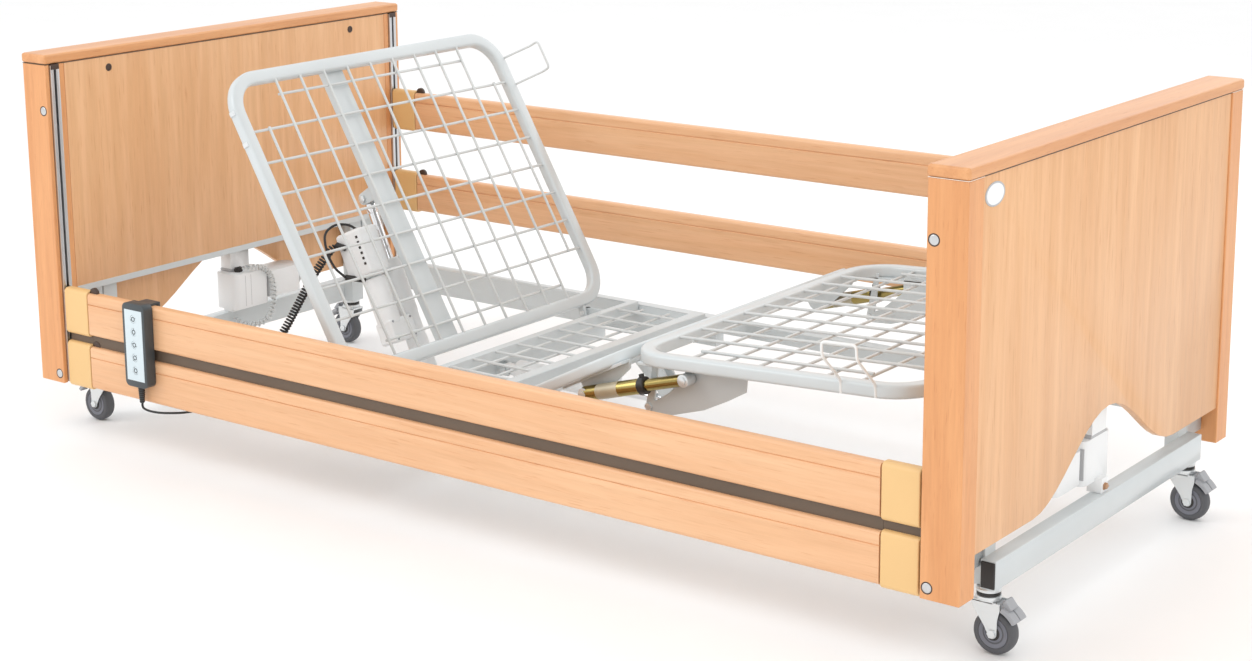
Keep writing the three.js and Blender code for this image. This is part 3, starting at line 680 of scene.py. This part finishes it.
def make_lift(end, s):
    body = f"{end}_trolley"
    keep(f"{end}_lift_frame", GREY_PAINT, 0.002)
    keep(f"{end}_lift_actuator", WHITE_PLASTIC, 0.0035)
    keep(f"{end}_lift_rod", ALUMINIUM, 0.001)
    beam_low, beam_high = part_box(f"{end}_lift_frame")
    plugs = bmesh.new()
    inner = s * 1.0715
    outer = s * 1.0965
    for t in (-1, 1):
        y = beam_low.y if t < 0 else beam_high.y
        add_box(plugs, (inner, y - t * 0.004, 0.1155), (outer, y + t * 0.0028, 0.1605))
    make_piece(f"{end}_beam_plugs", plugs, BLACK, body, bevel=0.0018)
    bolts = bmesh.new()
    for x_offset in (1.0635, 1.0925):
        cross_rod(bolts, s * x_offset, SHIFT - 0.0065, SHIFT + 0.0065, 0.174, 0.005)
    add_rod(bolts, (s * 1.06, SHIFT, 0.175), (s * 1.097, SHIFT, 0.175), 0.0058)
    make_piece(f"{end}_clevis_bolt", bolts, COPPER, body)
    seams = bmesh.new()
    low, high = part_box(f"{end}_lift_actuator")
    motor = low.y if s > 0 else high.y
    joint_y = SHIFT - s * 0.0535
    add_bar(seams, s * 1.0105, s * 1.0765, joint_y, 0.0012, 0.195, 0.2515)
    face = s * 1.0082
    for y in (-0.02, -0.003):
        add_box(
            seams, (face - s * 0.0004, SHIFT - s * y, 0.188),
            (face + s * 0.001, SHIFT - s * (y - 0.0012), 0.259),
        )
    make_piece(f"{end}_lift_seams", seams, SEAM_GREY, body, bevel=0.0003)
    cover = bmesh.new()
    add_lathe(
        cover, (s * 1.043, motor - copysign(0.004, motor - SHIFT), 0.2225),
        (0, copysign(1, motor - SHIFT), 0),
        [(0, 0.024), (0.001, 0.0264), (0.0025, 0.0268), (0.0035, 0.0256)], 36,
    )
    make_piece(f"{end}_motor_cover", cover, SEAM_GREY, body)
    collar = bmesh.new()
    add_bar(collar, s * 1.0445, s * 1.0785, SHIFT, 0.031, 0.2635, 0.2705)
    make_piece(f"{end}_column_collar", collar, SEAM_GREY, body, bevel=0.002)
    gland = bmesh.new()
    add_rod(gland, (s * 1.04, SHIFT + s * 0.018, 0.2655), (s * 1.027, SHIFT + s * 0.0158, 0.2715), 0.0068)
    add_rod(
        gland, (s * 1.034, SHIFT + s * 0.017, 0.263), (s * 1.034, SHIFT + s * 0.017, 0.274), 0.0085,
        segments=6,
    )
    make_piece(f"{end}_lift_gland", gland, BLACK, body)


for end, s in ENDS:
    make_lift(end, s)

# ---- castors


def make_castor(end, s, side):
    name = f"{end}_{side}_castor"
    wheel_body = f"{end}_{side}_wheel"
    axle = (0, 0.0375)
    wheel_low, wheel_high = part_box(f"{name}_wheel")
    hub = (wheel_low + wheel_high) / 2
    radius = (wheel_high.z - wheel_low.z) / 2
    tyre = bmesh.new()
    tread = [
        (-0.011, 0.0262), (-0.012, 0.0272), (-0.012, 0.0325), (-0.0105, 0.0352), (-0.0075, 0.0368),
        (-0.003, radius),
        (0.003, radius), (0.0075, 0.0368), (0.0105, 0.0352), (0.012, 0.0325), (0.012, 0.0272),
        (0.011, 0.0262),
    ]
    add_lathe(tyre, hub, (0, 1, 0), tread, 56)
    make_piece(f"{name}_tyre", tyre, RUBBER, wheel_body, replaces=f"{name}_wheel")
    discs, caps = bmesh.new(), bmesh.new()
    for y in (-1, 1):
        add_lathe(
            discs, hub + Vector((0, y * 0.0105, 0)), (0, y, 0),
            [
                (0, 0.0258), (0.0012, 0.0258), (0.0018, 0.0245), (0.0006, 0.0215), (0.0004, 0.0165),
                (0.0022, 0.014),
            ],
            48,
        )
        add_lathe(
            caps, hub + Vector((0, y * 0.0118, 0)), (0, y, 0),
            [(0, 0.0125), (0.0011, 0.0125), (0.0016, 0.011)], 36,
        )
    make_piece(f"{name}_hub", discs, HUB_PLASTIC, wheel_body)
    make_piece(f"{name}_hub_ring", caps, BLACK, wheel_body)

    def beside(points):
        return [(hub.x + s * x, z) for x, z in points]

    fork = bmesh.new()
    cheek = beside([
        (-0.038, 0.0905), (0.013, 0.0905), (0.0135, 0.08), (0.009, 0.062), (0.0085, 0.0375),
        *arc(axle, 0.0085, 0, -180, 8), (-0.0085, 0.0375), (-0.015, 0.05), (-0.036, 0.078),
    ])
    for y in (-1, 1):
        add_plate(fork, cheek, hub.y + y * 0.0142, hub.y + y * 0.0166)
    add_bar(fork, hub.x - s * 0.0385, hub.x + s * 0.0008, hub.y, 0.0166, 0.0872, 0.0915)
    make_piece(f"{name}_yoke", fork, ZINC, name, bevel=0.0009, replaces=f"{name}_fork")
    head = bmesh.new()
    add_lathe(
        head, (s * 1.075, hub.y, 0.0908), (0, 0, 1),
        [
            (0, 0.0205), (0.003, 0.0215), (0.007, 0.0205), (0.008, 0.017), (0.0135, 0.0165),
            (0.0145, 0.0205), (0.019, 0.021), (0.0216, 0.0195),
        ],
        40,
    )
    cross_rod(head, hub.x, hub.y - 0.0195, hub.y + 0.0195, hub.z, 0.0052)
    for y in (-1, 1):
        cross_rod(head, hub.x, hub.y + y * 0.0163, hub.y + y * 0.0198, hub.z, 0.0078, segments=6)
    make_piece(f"{name}_bearing", head, ZINC, name)
    washer = bmesh.new()
    add_lathe(washer, (s * 1.075, hub.y, 0.0995), (0, 0, 1), [(0, 0.0198), (0.0042, 0.0198)], 36)
    make_piece(f"{name}_washer", washer, BLACK, name)
    pedal = bmesh.new()
    shoe = beside(arc(axle, 0.0516, 70, 32, 8) + arc(axle, 0.044, 32, 70, 8))
    for y_low, y_high in ((-0.0208, -0.0012), (0.0012, 0.0208)):
        add_plate(pedal, shoe, hub.y + y_low, hub.y + y_high)
    knob = [(0.0155, 0.0835), (0.0165, 0.0955), (0.021, 0.0975), (0.033, 0.083), (0.026, 0.078)]
    arm = [(0.004, 0.08), (0.004, 0.0892), (0.02, 0.0892), (0.018, 0.08)]
    for points in (knob, arm):
        add_plate(pedal, beside(points), hub.y - 0.0125, hub.y + 0.0125)
    make_piece(
        f"{name}_brake", pedal, GREY_PLASTIC, f"{end}_{side}_pedal", bevel=0.0016, replaces=f"{name}_pedal",
    )


for end, s in ENDS:
    for side, _ in SIDES:
        make_castor(end, s, side)

# ---- chassis and seat


def make_chassis():
    keep("chassis_frame", GREY_PAINT, 0.0022)
    bolts = bmesh.new()
    for _, s in ENDS:
        for _, t in SIDES:
            for z in (0.168, 0.195):
                y = SHIFT + t * 0.4545
                cross_rod(bolts, s * 1.0, y - t * 0.001, y + t * 0.004, z, 0.0062, segments=6)
    for x in (-0.36, -0.19, 0.013):
        for _, t in SIDES:
            cross_rod(bolts, x, SHIFT + t * 0.453, SHIFT + t * 0.4575, 0.197, 0.006, segments=6)
    make_piece("chassis_bolts", bolts, ZINC)
    pins = bmesh.new()
    for name, y in (("backrest_drive_pivot", -0.085), ("leg_drive_pivot", 0.085)):
        point = pivot(name)
        cross_rod(pins, point.x, SHIFT + y - 0.019, SHIFT + y + 0.019, point.z, 0.0058)
        cross_rod(pins, point.x, SHIFT + y - 0.0195, SHIFT + y - 0.0152, point.z, 0.0085, segments=6)
    make_piece("drive_pins", pins, ZINC)


def make_seat():
    low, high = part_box("seat_panel")
    top = high.z
    bm = bmesh.new()
    for xa, xb in ((low.x + 0.065, low.x + 0.085), (high.x - 0.028, high.x)):
        add_box(bm, (xa, low.y, 0.194), (xb, high.y, top))
    hinge = pivot("backrest_hinge")
    for _, t in SIDES:
        outline = [
            (-0.248, 0.2005), (-0.248, 0.2185), (-0.286, 0.218),
            *arc((hinge.x, hinge.z), 0.0088, 75, 250, 8),
        ]
        add_plate(bm, outline, SHIFT + t * 0.327, SHIFT + t * 0.333)
    make_piece("seat_frame", bm, GREY_PAINT, bevel=0.0028, replaces="seat_panel")
    wires = bmesh.new()
    for k in range(-5, 6):
        y = SHIFT + k * WIRE_PITCH
        add_rod(
            wires, (low.x + 0.072, y, top - 0.0032), (high.x - 0.012, y, top - 0.0032), WIRE_RADIUS,
            segments=10,
        )
    reach = 5.6 * WIRE_PITCH
    for x in (-0.19, -0.12):
        cross_rod(wires, x, SHIFT - reach, SHIFT + reach, top - 0.0076, WIRE_RADIUS, segments=10)
    make_piece("seat_wires", wires, WIRE_PAINT)
    pins = bmesh.new()
    for _, t in SIDES:
        cross_rod(pins, hinge.x, SHIFT + t * 0.312, SHIFT + t * 0.337, hinge.z, 0.0052)
    make_piece("backrest_pins", pins, ZINC)
    bushes = bmesh.new()
    for _, t in SIDES:
        cross_rod(bushes, hinge.x, SHIFT + t * 0.3335, SHIFT + t * 0.3405, hinge.z, 0.0092)
    make_piece("backrest_bushes", bushes, BLACK)


make_chassis()
make_seat()

# ---- mesh sections


def add_ring(bm, length, depth):
    """A rounded rectangle of tube whose face is z = 0 and whose back is z = depth."""
    half = TUBE / 2
    radius = CORNER - half
    corners = (
        (length - CORNER, HALF_WIDTH - CORNER, 0), (CORNER, HALF_WIDTH - CORNER, 90),
        (CORNER, CORNER - HALF_WIDTH, 180), (length - CORNER, CORNER - HALF_WIDTH, 270),
    )
    path = []
    for x, y, start in corners:
        for i in range(13):
            angle = radians(start + 90 * i / 12)
            normal = Vector((cos(angle), sin(angle)))
            path.append((Vector((x, y)) + normal * radius, normal))
    section = rounded_outline(-half, half, *sorted((0, depth)), 0.0055, 4)
    rings = []
    for point, normal in path:
        rings.append([bm.verts.new((point.x + normal.x * a, point.y + normal.y * a, b)) for a, b in section])
    for i, ring in enumerate(rings):
        bridge(bm, ring, rings[(i + 1) % len(rings)])


def add_lattice(bm, length, down, cross_wires, short_ends):
    inner = HALF_WIDTH - TUBE
    last = len(cross_wires) - 1
    for i, x in enumerate(cross_wires):
        reach = 4 * WIRE_PITCH + 0.004 if short_ends and i in (0, last) else inner + 0.004
        z = down * 0.0075
        cross_rod(bm, x, -reach, reach, z, WIRE_RADIUS, segments=10)
    for k in range(-5, 6):
        outermost = short_ends and abs(k) == 5
        start = cross_wires[1] - 0.004 if outermost else TUBE - 0.004
        stop = cross_wires[last - 1] + 0.004 if outermost else length - TUBE + 0.004
        z = down * 0.0031
        add_rod(bm, (start, k * WIRE_PITCH, z), (stop, k * WIRE_PITCH, z), WIRE_RADIUS, segments=10)


def make_section(body, place, length, depth, first, pitch, count, short_ends):
    """A tube ring with its lattice; the cross wires start at first and repeat at the pitch."""
    ring, wires = bmesh.new(), bmesh.new()
    add_ring(ring, length, depth)
    local_piece(f"{body}_frame", ring, place, GREY_PAINT, body, replaces=f"{body}_panel")
    cross_wires = [first + i * pitch for i in range(count)]
    add_lattice(wires, length, copysign(1, depth), cross_wires, short_ends)
    local_piece(f"{body}_wires", wires, place, WIRE_PAINT, body)


def add_retainer(bm, xa, xb, side, foot, rise, lean):
    edge = side * (HALF_WIDTH - 0.001)
    top = edge + side * lean
    kink = rise * 0.69
    loop = fillet([
        (xa, edge, foot), (xa, edge, 0), (xa, top, kink), (xa, top, rise),
        (xb, top, rise), (xb, top, kink), (xb, edge, 0), (xb, edge, foot),
    ], 0.009)
    add_tube(bm, loop, 0.0025)


def local_piece(name, bm, place, *rest, **more):
    bmesh.ops.transform(bm, matrix=place, verts=bm.verts)
    return make_piece(name, bm, *rest, **more)


BACK_HINGE = pivot("backrest_hinge")
BACK_HEADING = 120.2
BACK_PLACE = tilt((BACK_HINGE.x + 0.0055, BACK_HINGE.z + 0.0183), SHIFT, BACK_HEADING)
BACK_LENGTH = 0.665
THIGH_ANGLE = 27
THIGH_HINGE = pivot("thigh_hinge")
THIGH_PLACE = tilt((THIGH_HINGE.x, THIGH_HINGE.z + 0.012), SHIFT, THIGH_ANGLE)
THIGH_LENGTH = 0.373
CALF_ANGLE = 2.9
KNEE = pivot("knee_hinge")
CALF_TURN = Matrix.Rotation(-radians(CALF_ANGLE), 4, "Y")
CALF_START = KNEE + CALF_TURN @ Vector((0.003, 0, 0.018))
CALF_PLACE = tilt((CALF_START.x, CALF_START.z), SHIFT, CALF_ANGLE)
CALF_LENGTH = 0.599
CALF_DEPTH = 0.024
CROSS_PITCH = 68.5 * MM
BACK_PIN = (-0.558, 0.504)
LEG_PIN = (0.118, 0.134)


def inside(place, x, z):
    """A point of the XZ plane as (along, above) in a tilted frame."""
    local = place.inverted() @ Vector((x, SHIFT, z))
    return local.x, local.z


def make_backrest():
    make_section("backrest", BACK_PLACE, BACK_LENGTH, 0.022, 0.0594, CROSS_PITCH, 9, True)
    loop = bmesh.new()
    add_retainer(loop, 0.528, 0.594, 1, 0.017, -0.076, 0.037)
    local_piece("backrest_retainer", loop, BACK_PLACE, WIRE_PAINT, "backrest")
    solid = bmesh.new()
    add_box(solid, (0.01, -0.12, 0.02), (BACK_LENGTH - 0.01, -0.068, 0.04))
    along, above = inside(BACK_PLACE, *BACK_PIN)
    for y in (-0.101, -0.074):
        outline = [
            (along - 0.017, 0.036), *reversed(arc((along, above), 0.0135, 20, 160, 8)),
            (along + 0.017, 0.036),
        ]
        add_plate(solid, outline, y, y + 0.005)
    hinge_x, hinge_z = inside(BACK_PLACE, BACK_HINGE.x, BACK_HINGE.z)
    for _, t in SIDES:
        lug = [
            (hinge_x - 0.01, hinge_z - 0.006), (hinge_x - 0.01, hinge_z + 0.007),
            (hinge_x - 0.002, hinge_z + 0.012),
            (0.012, 0.02), (0.012, 0.002), (hinge_x + 0.004, hinge_z - 0.009),
        ]
        add_plate(solid, lug, t * 0.316, t * 0.323)
    local_piece("backrest_spine", solid, BACK_PLACE, GREY_PAINT, "backrest", bevel=0.0025)
    clips = bmesh.new()
    for x in (0.517, 0.585):
        add_box(clips, (x - 0.005, -0.4206, 0.004), (x + 0.005, -0.415, 0.018))
    local_piece("backrest_clips", clips, BACK_PLACE, ZINC, "backrest", "grey_paint", bevel=0.001)
    pin = bmesh.new()
    cross_rod(pin, along, -0.104, -0.066, above, 0.0058)
    cross_rod(pin, along, -0.1055, -0.1012, above, 0.009, segments=6)
    local_piece("clevis_pin", pin, BACK_PLACE, ZINC, "backrest")


def make_leg_sections():
    make_section("thigh", THIGH_PLACE, THIGH_LENGTH, -0.022, 0.071, WIRE_PITCH, 4, False)
    bracket = bmesh.new()
    gusset = [(232, 318), (250, 290), (262, 282), (274, 285), (300, 303), (350, 352), (351, 371), (300, 345)]
    gusset = [inside(THIGH_PLACE, x * MM, z * MM) for x, z in gusset]
    lever_x, lever_z = inside(THIGH_PLACE, *LEG_PIN)
    lever = [
        (0.002, -0.018), (0.062, -0.02), (lever_x + 0.014, lever_z + 0.006),
        (lever_x + 0.01, lever_z - 0.011),
        (lever_x - 0.008, lever_z - 0.012), (lever_x - 0.014, lever_z + 0.004),
    ]
    for _, t in SIDES:
        add_plate(bracket, gusset, t * BRACKET_INNER, t * BRACKET_OUTER)
        add_box(bracket, (0.21, t * BRACKET_INNER, -0.026), (0.362, t * 0.4, -0.02))
    for y in (0.069, 0.096):
        add_plate(bracket, lever, y, y + 0.005)
    local_piece("thigh_brackets", bracket, THIGH_PLACE, GREY_PAINT, "thigh", bevel=0.0012)
    make_section("calf", CALF_PLACE, CALF_LENGTH, -CALF_DEPTH, 0.059, CROSS_PITCH, 8, True)
    loops = bmesh.new()
    for _, t in SIDES:
        add_retainer(loops, 0.451, 0.517, t, 0.002 - CALF_DEPTH, 0.078, 0.055)
    # The calf's loops take the lighter copy of the wire paint, a painted highlight.
    local_piece("calf_retainers", loops, CALF_PLACE, LIT_WIRE_PAINT, "calf")
    arm = bmesh.new()
    outline = [
        (384, 284), (398, 279), (442, 282), (510, 303), (560, 328), (598, 350), (602, 389),
        (470, 387), (470, 352), (430, 318), (404, 302), (414, 384), (403.5, 384), (386, 298),
    ]
    outline = [inside(CALF_PLACE, x * MM, z * MM) for x, z in outline]
    for _, t in SIDES:
        add_plate(arm, outline, t * BRACKET_INNER, t * BRACKET_OUTER)
        add_box(arm, (0.02, t * BRACKET_INNER, -CALF_DEPTH - 0.004), (0.24, t * 0.4, 0.002 - CALF_DEPTH))
    local_piece("calf_brackets", arm, CALF_PLACE, GREY_PAINT, "calf", bevel=0.0012)
    bolts = bmesh.new()
    for _, t in SIDES:
        cross_rod(bolts, 0.392, SHIFT + t * 0.374, SHIFT + t * 0.3865, 0.29, 0.0075, segments=6)
    for y in (-0.26, 0.26):
        cross_rod(bolts, KNEE.x, SHIFT + y - 0.012, SHIFT + y + 0.012, KNEE.z + 0.004, 0.0065)
    make_piece("knee_bolts", bolts, ZINC, "calf")


make_backrest()
make_leg_sections()

# ---- actuators


def joint_heading(name):
    axis = joints[name]["axis"]
    return degrees(atan2(axis[2], axis[0]))


def turn(bm, profile):
    """A round shape about the local X axis."""
    add_lathe(bm, (0, 0, 0), (1, 0, 0), profile, 40)


def make_push_actuator(section, side, tip):
    prefix = f"{section}_actuator"
    drive_body = f"{section}_drive"
    point = pivot(f"{section}_drive_pivot")
    place = tilt((point.x, point.z), point.y, joint_heading(f"{section}_rod_slide"))
    reach = (Vector((tip[0], 0, tip[1])) - Vector((point.x, 0, point.z))).length
    body = bmesh.new()
    cross_rod(body, 0, -0.009, 0.009, 0, 0.012)
    add_bar(body, 0.004, 0.036, 0, 0.0088, -0.0105, 0.0105)
    tube = [
        (0.028, 0.019), (0.032, 0.0228), (0.098, 0.0228), (0.1, 0.0215), (0.152, 0.0215), (0.154, 0.0228),
    ]
    tube += [
        (0.252, 0.0228), (0.2525, 0.0232), (0.27, 0.0232), (0.2725, 0.021), (0.273, 0.0121), (0.271, 0.0118),
        (0.031, 0.0118),
    ]
    turn(body, tube)
    motor = [(0.14, 0.0235), (0.142, 0.025), (0.236, 0.025), (0.242, 0.0225), (0.2455, 0.016)]
    add_lathe(body, (0, side * 0.06, 0), (1, 0, 0), motor, 40)
    local_piece(f"{prefix}_barrel", body, place, WHITE_PLASTIC, drive_body, replaces=prefix)
    gearbox = bmesh.new()
    low, high = sorted((side * 0.0115, side * 0.082))
    add_box(gearbox, (0.1, low, -0.0232), (0.15, high, 0.0232))
    local_piece(f"{prefix}_gearbox", gearbox, place, WHITE_PLASTIC, drive_body, bevel=0.006)
    trim = bmesh.new()
    add_lathe(trim, (0.246, 0, 0), (1, 0, 0), [(0, 0.0233), (0.0012, 0.0234), (0.0024, 0.0233)], 40)
    for x, z in ((0.106, 0.0234), (0.144, 0.0234), (0.106, -0.0234), (0.144, -0.0234)):
        for y in (low + 0.009, high - 0.009):
            add_rod(trim, (x, y, z - 0.001), (x, y, z + 0.0006), 0.0028, segments=12)
    local_piece(f"{prefix}_trim", trim, place, GREY_PLASTIC, drive_body)
    rod = bmesh.new()
    add_rod(rod, (reach - 0.26, 0, 0), (reach - 0.0075, 0, 0), 0.01, 0.001, 40)
    cross_rod(rod, reach, -0.008, 0.008, 0, 0.0122, 0.001, 32)
    add_rod(rod, (reach - 0.034, 0, 0), (reach - 0.01, 0, 0), 0.0112, 0.001, 32)
    local_piece(f"{prefix}_shaft", rod, place, CHROME, f"{section}_rod", replaces=f"{prefix}_rod")
    return place


def make_control_box(place):
    box = bmesh.new()
    add_box(box, (0.2503, -0.097, -0.035), (0.35, -0.036, 0.035))
    local_piece(
        "control_box_shell", box, place, WHITE_PLASTIC, "backrest_drive", bevel=0.007,
        replaces="control_box",
    )
    sockets = bmesh.new()
    for i in range(6):
        x = 0.272 + 0.0115 * i
        add_box(sockets, (x, -0.0976, -0.0295), (x + 0.0055, -0.094, -0.0235))
    add_box(sockets, (0.3465, -0.078, -0.016), (0.3515, -0.066, -0.008))
    local_piece("control_box_sockets", sockets, place, BLACK, "backrest_drive", bevel=0.0006)
    label = bmesh.new()
    for z in (-0.0353, 0.0347):
        add_box(label, (0.268, -0.088, z), (0.334, -0.05, z + 0.0006))
    local_piece("control_box_label", label, place, LABEL, "backrest_drive", bevel=0.0002)
    plug = bmesh.new()
    socket = place @ Vector((0.318, -0.0965, 0.012))
    top = in_frame(CURLY_ROUTE)[0]
    add_rod(plug, socket, top, 0.0062)
    add_rod(plug, place @ Vector((0.262, -0.114, 0.024)), place @ Vector((0.244, -0.078, 0.008)), 0.006)
    make_piece("box_plugs", plug, BLACK, "backrest_drive")


def make_motor_lead(place):
    route = [
        (0.351, -0.062, 0.000), (0.366, -0.072, 0.012), (0.372, -0.1, 0.02), (0.358, -0.128, 0.026),
        (0.322, -0.134, 0.03), (0.288, -0.128, 0.03), (0.262, -0.114, 0.024),
    ]
    points = smooth_route([place @ Vector(p) for p in route], 8)
    bm = bmesh.new()
    add_tube(bm, points, 0.0026)
    lead = make_piece("motor_lead", bm, CABLE, "backrest_drive")


BACK_DRIVE = make_push_actuator("backrest", -1, BACK_PIN)
make_push_actuator("leg", 1, LEG_PIN)
make_control_box(BACK_DRIVE)
make_motor_lead(BACK_DRIVE)

# ---- knee ratchets


def make_ratchet(side, t):
    tube_body = f"{side}_ratchet"
    rod_body = f"{tube_body}_slider"
    point = pivot(f"{tube_body}_pivot")
    place = tilt((point.x, point.z), point.y, joint_heading(f"{tube_body}_slide"))
    sleeve = bmesh.new()
    turn(sleeve, [(-0.004, 0.0125), (-0.002, 0.014), (0.132, 0.014), (0.134, 0.0134)])
    local_piece(f"{tube_body}_sleeve", sleeve, place, GOLD, tube_body, replaces=f"{tube_body}_tube")
    collar = bmesh.new()
    turn(collar, [(0.126, 0.0145), (0.128, 0.0162), (0.139, 0.0162), (0.141, 0.0145)])
    add_rod(collar, (0.1335, 0, 0.012), (0.1335, 0, 0.0215), 0.0048)
    local_piece(f"{tube_body}_collar", collar, place, BLACK, tube_body)
    label = bmesh.new()
    turn(label, [(0.03, 0.0141), (0.0302, 0.01425), (0.0798, 0.01425), (0.08, 0.0141)])
    local_piece(f"{tube_body}_label", label, place, FOIL, tube_body)
    rod = bmesh.new()
    turn(rod, [(0.05, 0.0108), (0.222, 0.0108), (0.224, 0.0085)])
    for angle in (60, 180, 300):
        offset = Vector((0, cos(radians(angle)), sin(radians(angle)))) * 0.0106
        add_bar(rod, 0.142, 0.216, offset.y, 0.0012, offset.z - 0.0012, offset.z + 0.0012)
    local_piece(f"{tube_body}_slide_rod", rod, place, GOLD, rod_body, replaces=f"{tube_body}_rod")
    for name, x, body in (("tail", 0, tube_body), ("nose", 0.2288, rod_body)):
        eye = bmesh.new()
        cross_rod(eye, x, -0.012, 0.0125, 0, 0.0118, 0.0012, 32)
        cross_rod(eye, x, t * 0.0095, t * 0.0148, 0, 0.0078, segments=6)
        local_piece(f"{tube_body}_{name}", eye, place, ZINC, body)


for side, t in SIDES:
    make_ratchet(side, t)

# ---- safety rails


def make_rail(side, level):
    node = f"{side}_{level}_rail"
    body = f"{side}_{level}_guard"
    low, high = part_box(node)
    wood_low, wood_high = low.z + 0.004, high.z - 0.004
    y_low, y_high = low.y + 0.001, high.y - 0.001
    wood = bmesh.new()
    outline = rounded_outline(y_low, y_high, wood_low, wood_high, 0.007, groove=wood_low + 0.067)
    add_plate(wood, outline, -0.9475, 0.9475, plane="YZ")
    make_piece(f"{node}_wood", wood, RAIL_BEECH, body, replaces=node)
    caps = bmesh.new()
    cap_outline = rounded_outline(low.y, high.y, low.z, high.z, 0.009)
    for s in (-1, 1):
        xa, xb = sorted((s * 0.95, s * 1.02))
        add_plate(caps, cap_outline, xa, xb, plane="YZ")
    make_piece(f"{node}_caps", caps, OCHRE_PLASTIC, body, bevel=0.0022)
    tongues = bmesh.new()
    track_low, track_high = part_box(f"head_{side}_rail_track")
    slot = (track_low.y + track_high.y) / 2
    for s in (-1, 1):
        add_bar(tongues, s * 1.017, s * 1.034, slot, 0.0024, low.z + 0.01, high.z - 0.01)
    make_piece(f"{node}_tongues", tongues, BLACK, body, bevel=0.0006)
    keep(f"{node}_latch", BROWN, 0.0012)


for side, _ in SIDES:
    for level in ("lower", "upper"):
        make_rail(side, level)


# A thin dark umber sheet in the gap between the near rails: painted shade, standing for the shadow seen
# through the gap.
def make_gap_shade():
    low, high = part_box("near_lower_rail")
    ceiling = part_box("near_upper_rail")[0].z
    middle = (low.y + high.y) / 2
    bm = bmesh.new()
    add_bar(bm, -0.949, 0.949, middle, 0.002, high.z - 0.0045, ceiling + 0.0036)
    for s in (-1, 1):
        add_bar(bm, s * 0.9495, s * 1.018, middle, 0.002, high.z - 0.0005, ceiling - 0.0005)
    make_piece("near_gap_painted_shade", bm, UMBER_SEAM_AND_SHADE, "near_lower_guard", "black_plastic")


make_gap_shade()

# ---- handset


def half_membrane(bm, x, side, low_z, high_z, front, back, keys, radius):
    """Half of the keypad's face, with a bite out of its middle edge at each key."""
    wide = x + side * 0.0255
    outline = [(x, low_z), (wide, low_z), (wide, high_z), (x, high_z)]
    for z in reversed(keys):
        outline += [(x + side * (a - x), b) for a, b in arc((x, z), radius, 90, -90, 10)]
    add_plate(bm, outline, front, back)


def make_handset():
    keep("handset", SLATE, 0.0032)
    low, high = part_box("handset")
    centre = (low.x + high.x) / 2
    face = low.y
    names = ("height", "back", "legs", "profile", "lock")
    levels = sorted(sum(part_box(f"handset_button_{name}"), Vector()).z / 2 for name in names)
    pad = bmesh.new()
    for side in (-1, 1):
        half_membrane(pad, centre, side, 0.1765, 0.3245, face - 0.0005, face + 0.0006, levels, 0.0087)
    make_piece("keypad", pad, ICE, "near_upper_guard")
    for i, name in enumerate(names):
        node = f"handset_button_{name}"
        button_low, button_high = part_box(node)
        middle = (button_low + button_high) / 2
        key = bmesh.new()
        profile = [(0, 0.0082), (0.0024, 0.0082), (0.0027, 0.0074)]
        add_lathe(key, (middle.x, button_high.y, middle.z), (0, -1, 0), profile, 36)
        make_piece(f"key_{name}", key, ICE, f"button_{name}", replaces=node)
        icon = bmesh.new()
        ring = [(0, 0.0034), (0, 0.0051), (0.0006, 0.0051), (0.0006, 0.0034), (0, 0.0034)]
        add_lathe(icon, (middle.x, button_low.y + 0.0006, middle.z), (0, -1, 0), ring, 28, capped=False)
        for turn in (20 + 70 * i, 200 + 70 * i):
            x, z = arc((middle.x, middle.z), 0.0066, turn, turn, 1)[0]
            cross_rod(icon, x, button_low.y + 0.0006, button_low.y, z, 0.0009, 0.0001, 10)
        make_piece(f"key_icon_{name}", icon, SLATE, f"button_{name}")
    boot = bmesh.new()
    profile = [(0, 0)]
    for i in range(8):
        radius = 0.0074 - 0.00028 * i
        profile += [
            (0.0045 * i, radius), (0.0045 * i + 0.0022, radius), (0.0045 * i + 0.0027, radius - 0.0012),
            (0.0045 * i + 0.004, radius - 0.0012),
        ]
    profile += [(0.0352, 0)]
    add_lathe(boot, (centre, SHIFT - 0.534, 0.1632), (0, 0, -1), profile, 28, capped=False)
    make_piece("handset_boot", boot, BLACK, "near_upper_guard")


make_handset()

# ---- studio


def make_studio():
    floor_mesh = bpy.data.meshes.new("floor")
    floor_mesh.from_pydata([(-30, -30, 0), (30, -30, 0), (30, 30, 0), (-30, 30, 0)], [], [(0, 1, 2, 3)])
    floor = bpy.data.objects.new("floor", floor_mesh)
    floor.location.z = cad_low.z - 0.0004
    scene.collection.objects.link(floor)
    floor_mesh.materials.append(coated("floor", (0.93, 0.93, 0.93), 0.7, grain=3.0, bump=0.0, tone=0.01))
    world = bpy.data.worlds.new("studio")
    world.use_nodes = True
    world.node_tree.nodes["Background"].inputs["Color"].default_value = (1, 1, 1, 1)
    world.node_tree.nodes["Background"].inputs["Strength"].default_value = 1.06
    scene.world = world
    scene.view_settings.view_transform = "Standard"
    lights = (
        ("key", (-2.6, -3.4, 3.6), 3.0, 60),
        ("fill", (3.8, -2.2, 2.4), 3.0, 25),
        ("back", (0.5, 3.6, 3.2), 3.5, 30),
    )
    target = Vector((0, SHIFT, 0.35))
    for name, place, size, power in lights:
        data = bpy.data.lights.new(name, "AREA")
        data.shape = "DISK"
        data.size = size
        data.energy = power
        light = bpy.data.objects.new(name, data)
        light.location = place
        light.rotation_euler = (target - Vector(place)).to_track_quat("-Z", "Y").to_euler()
        scene.collection.objects.link(light)


make_studio()
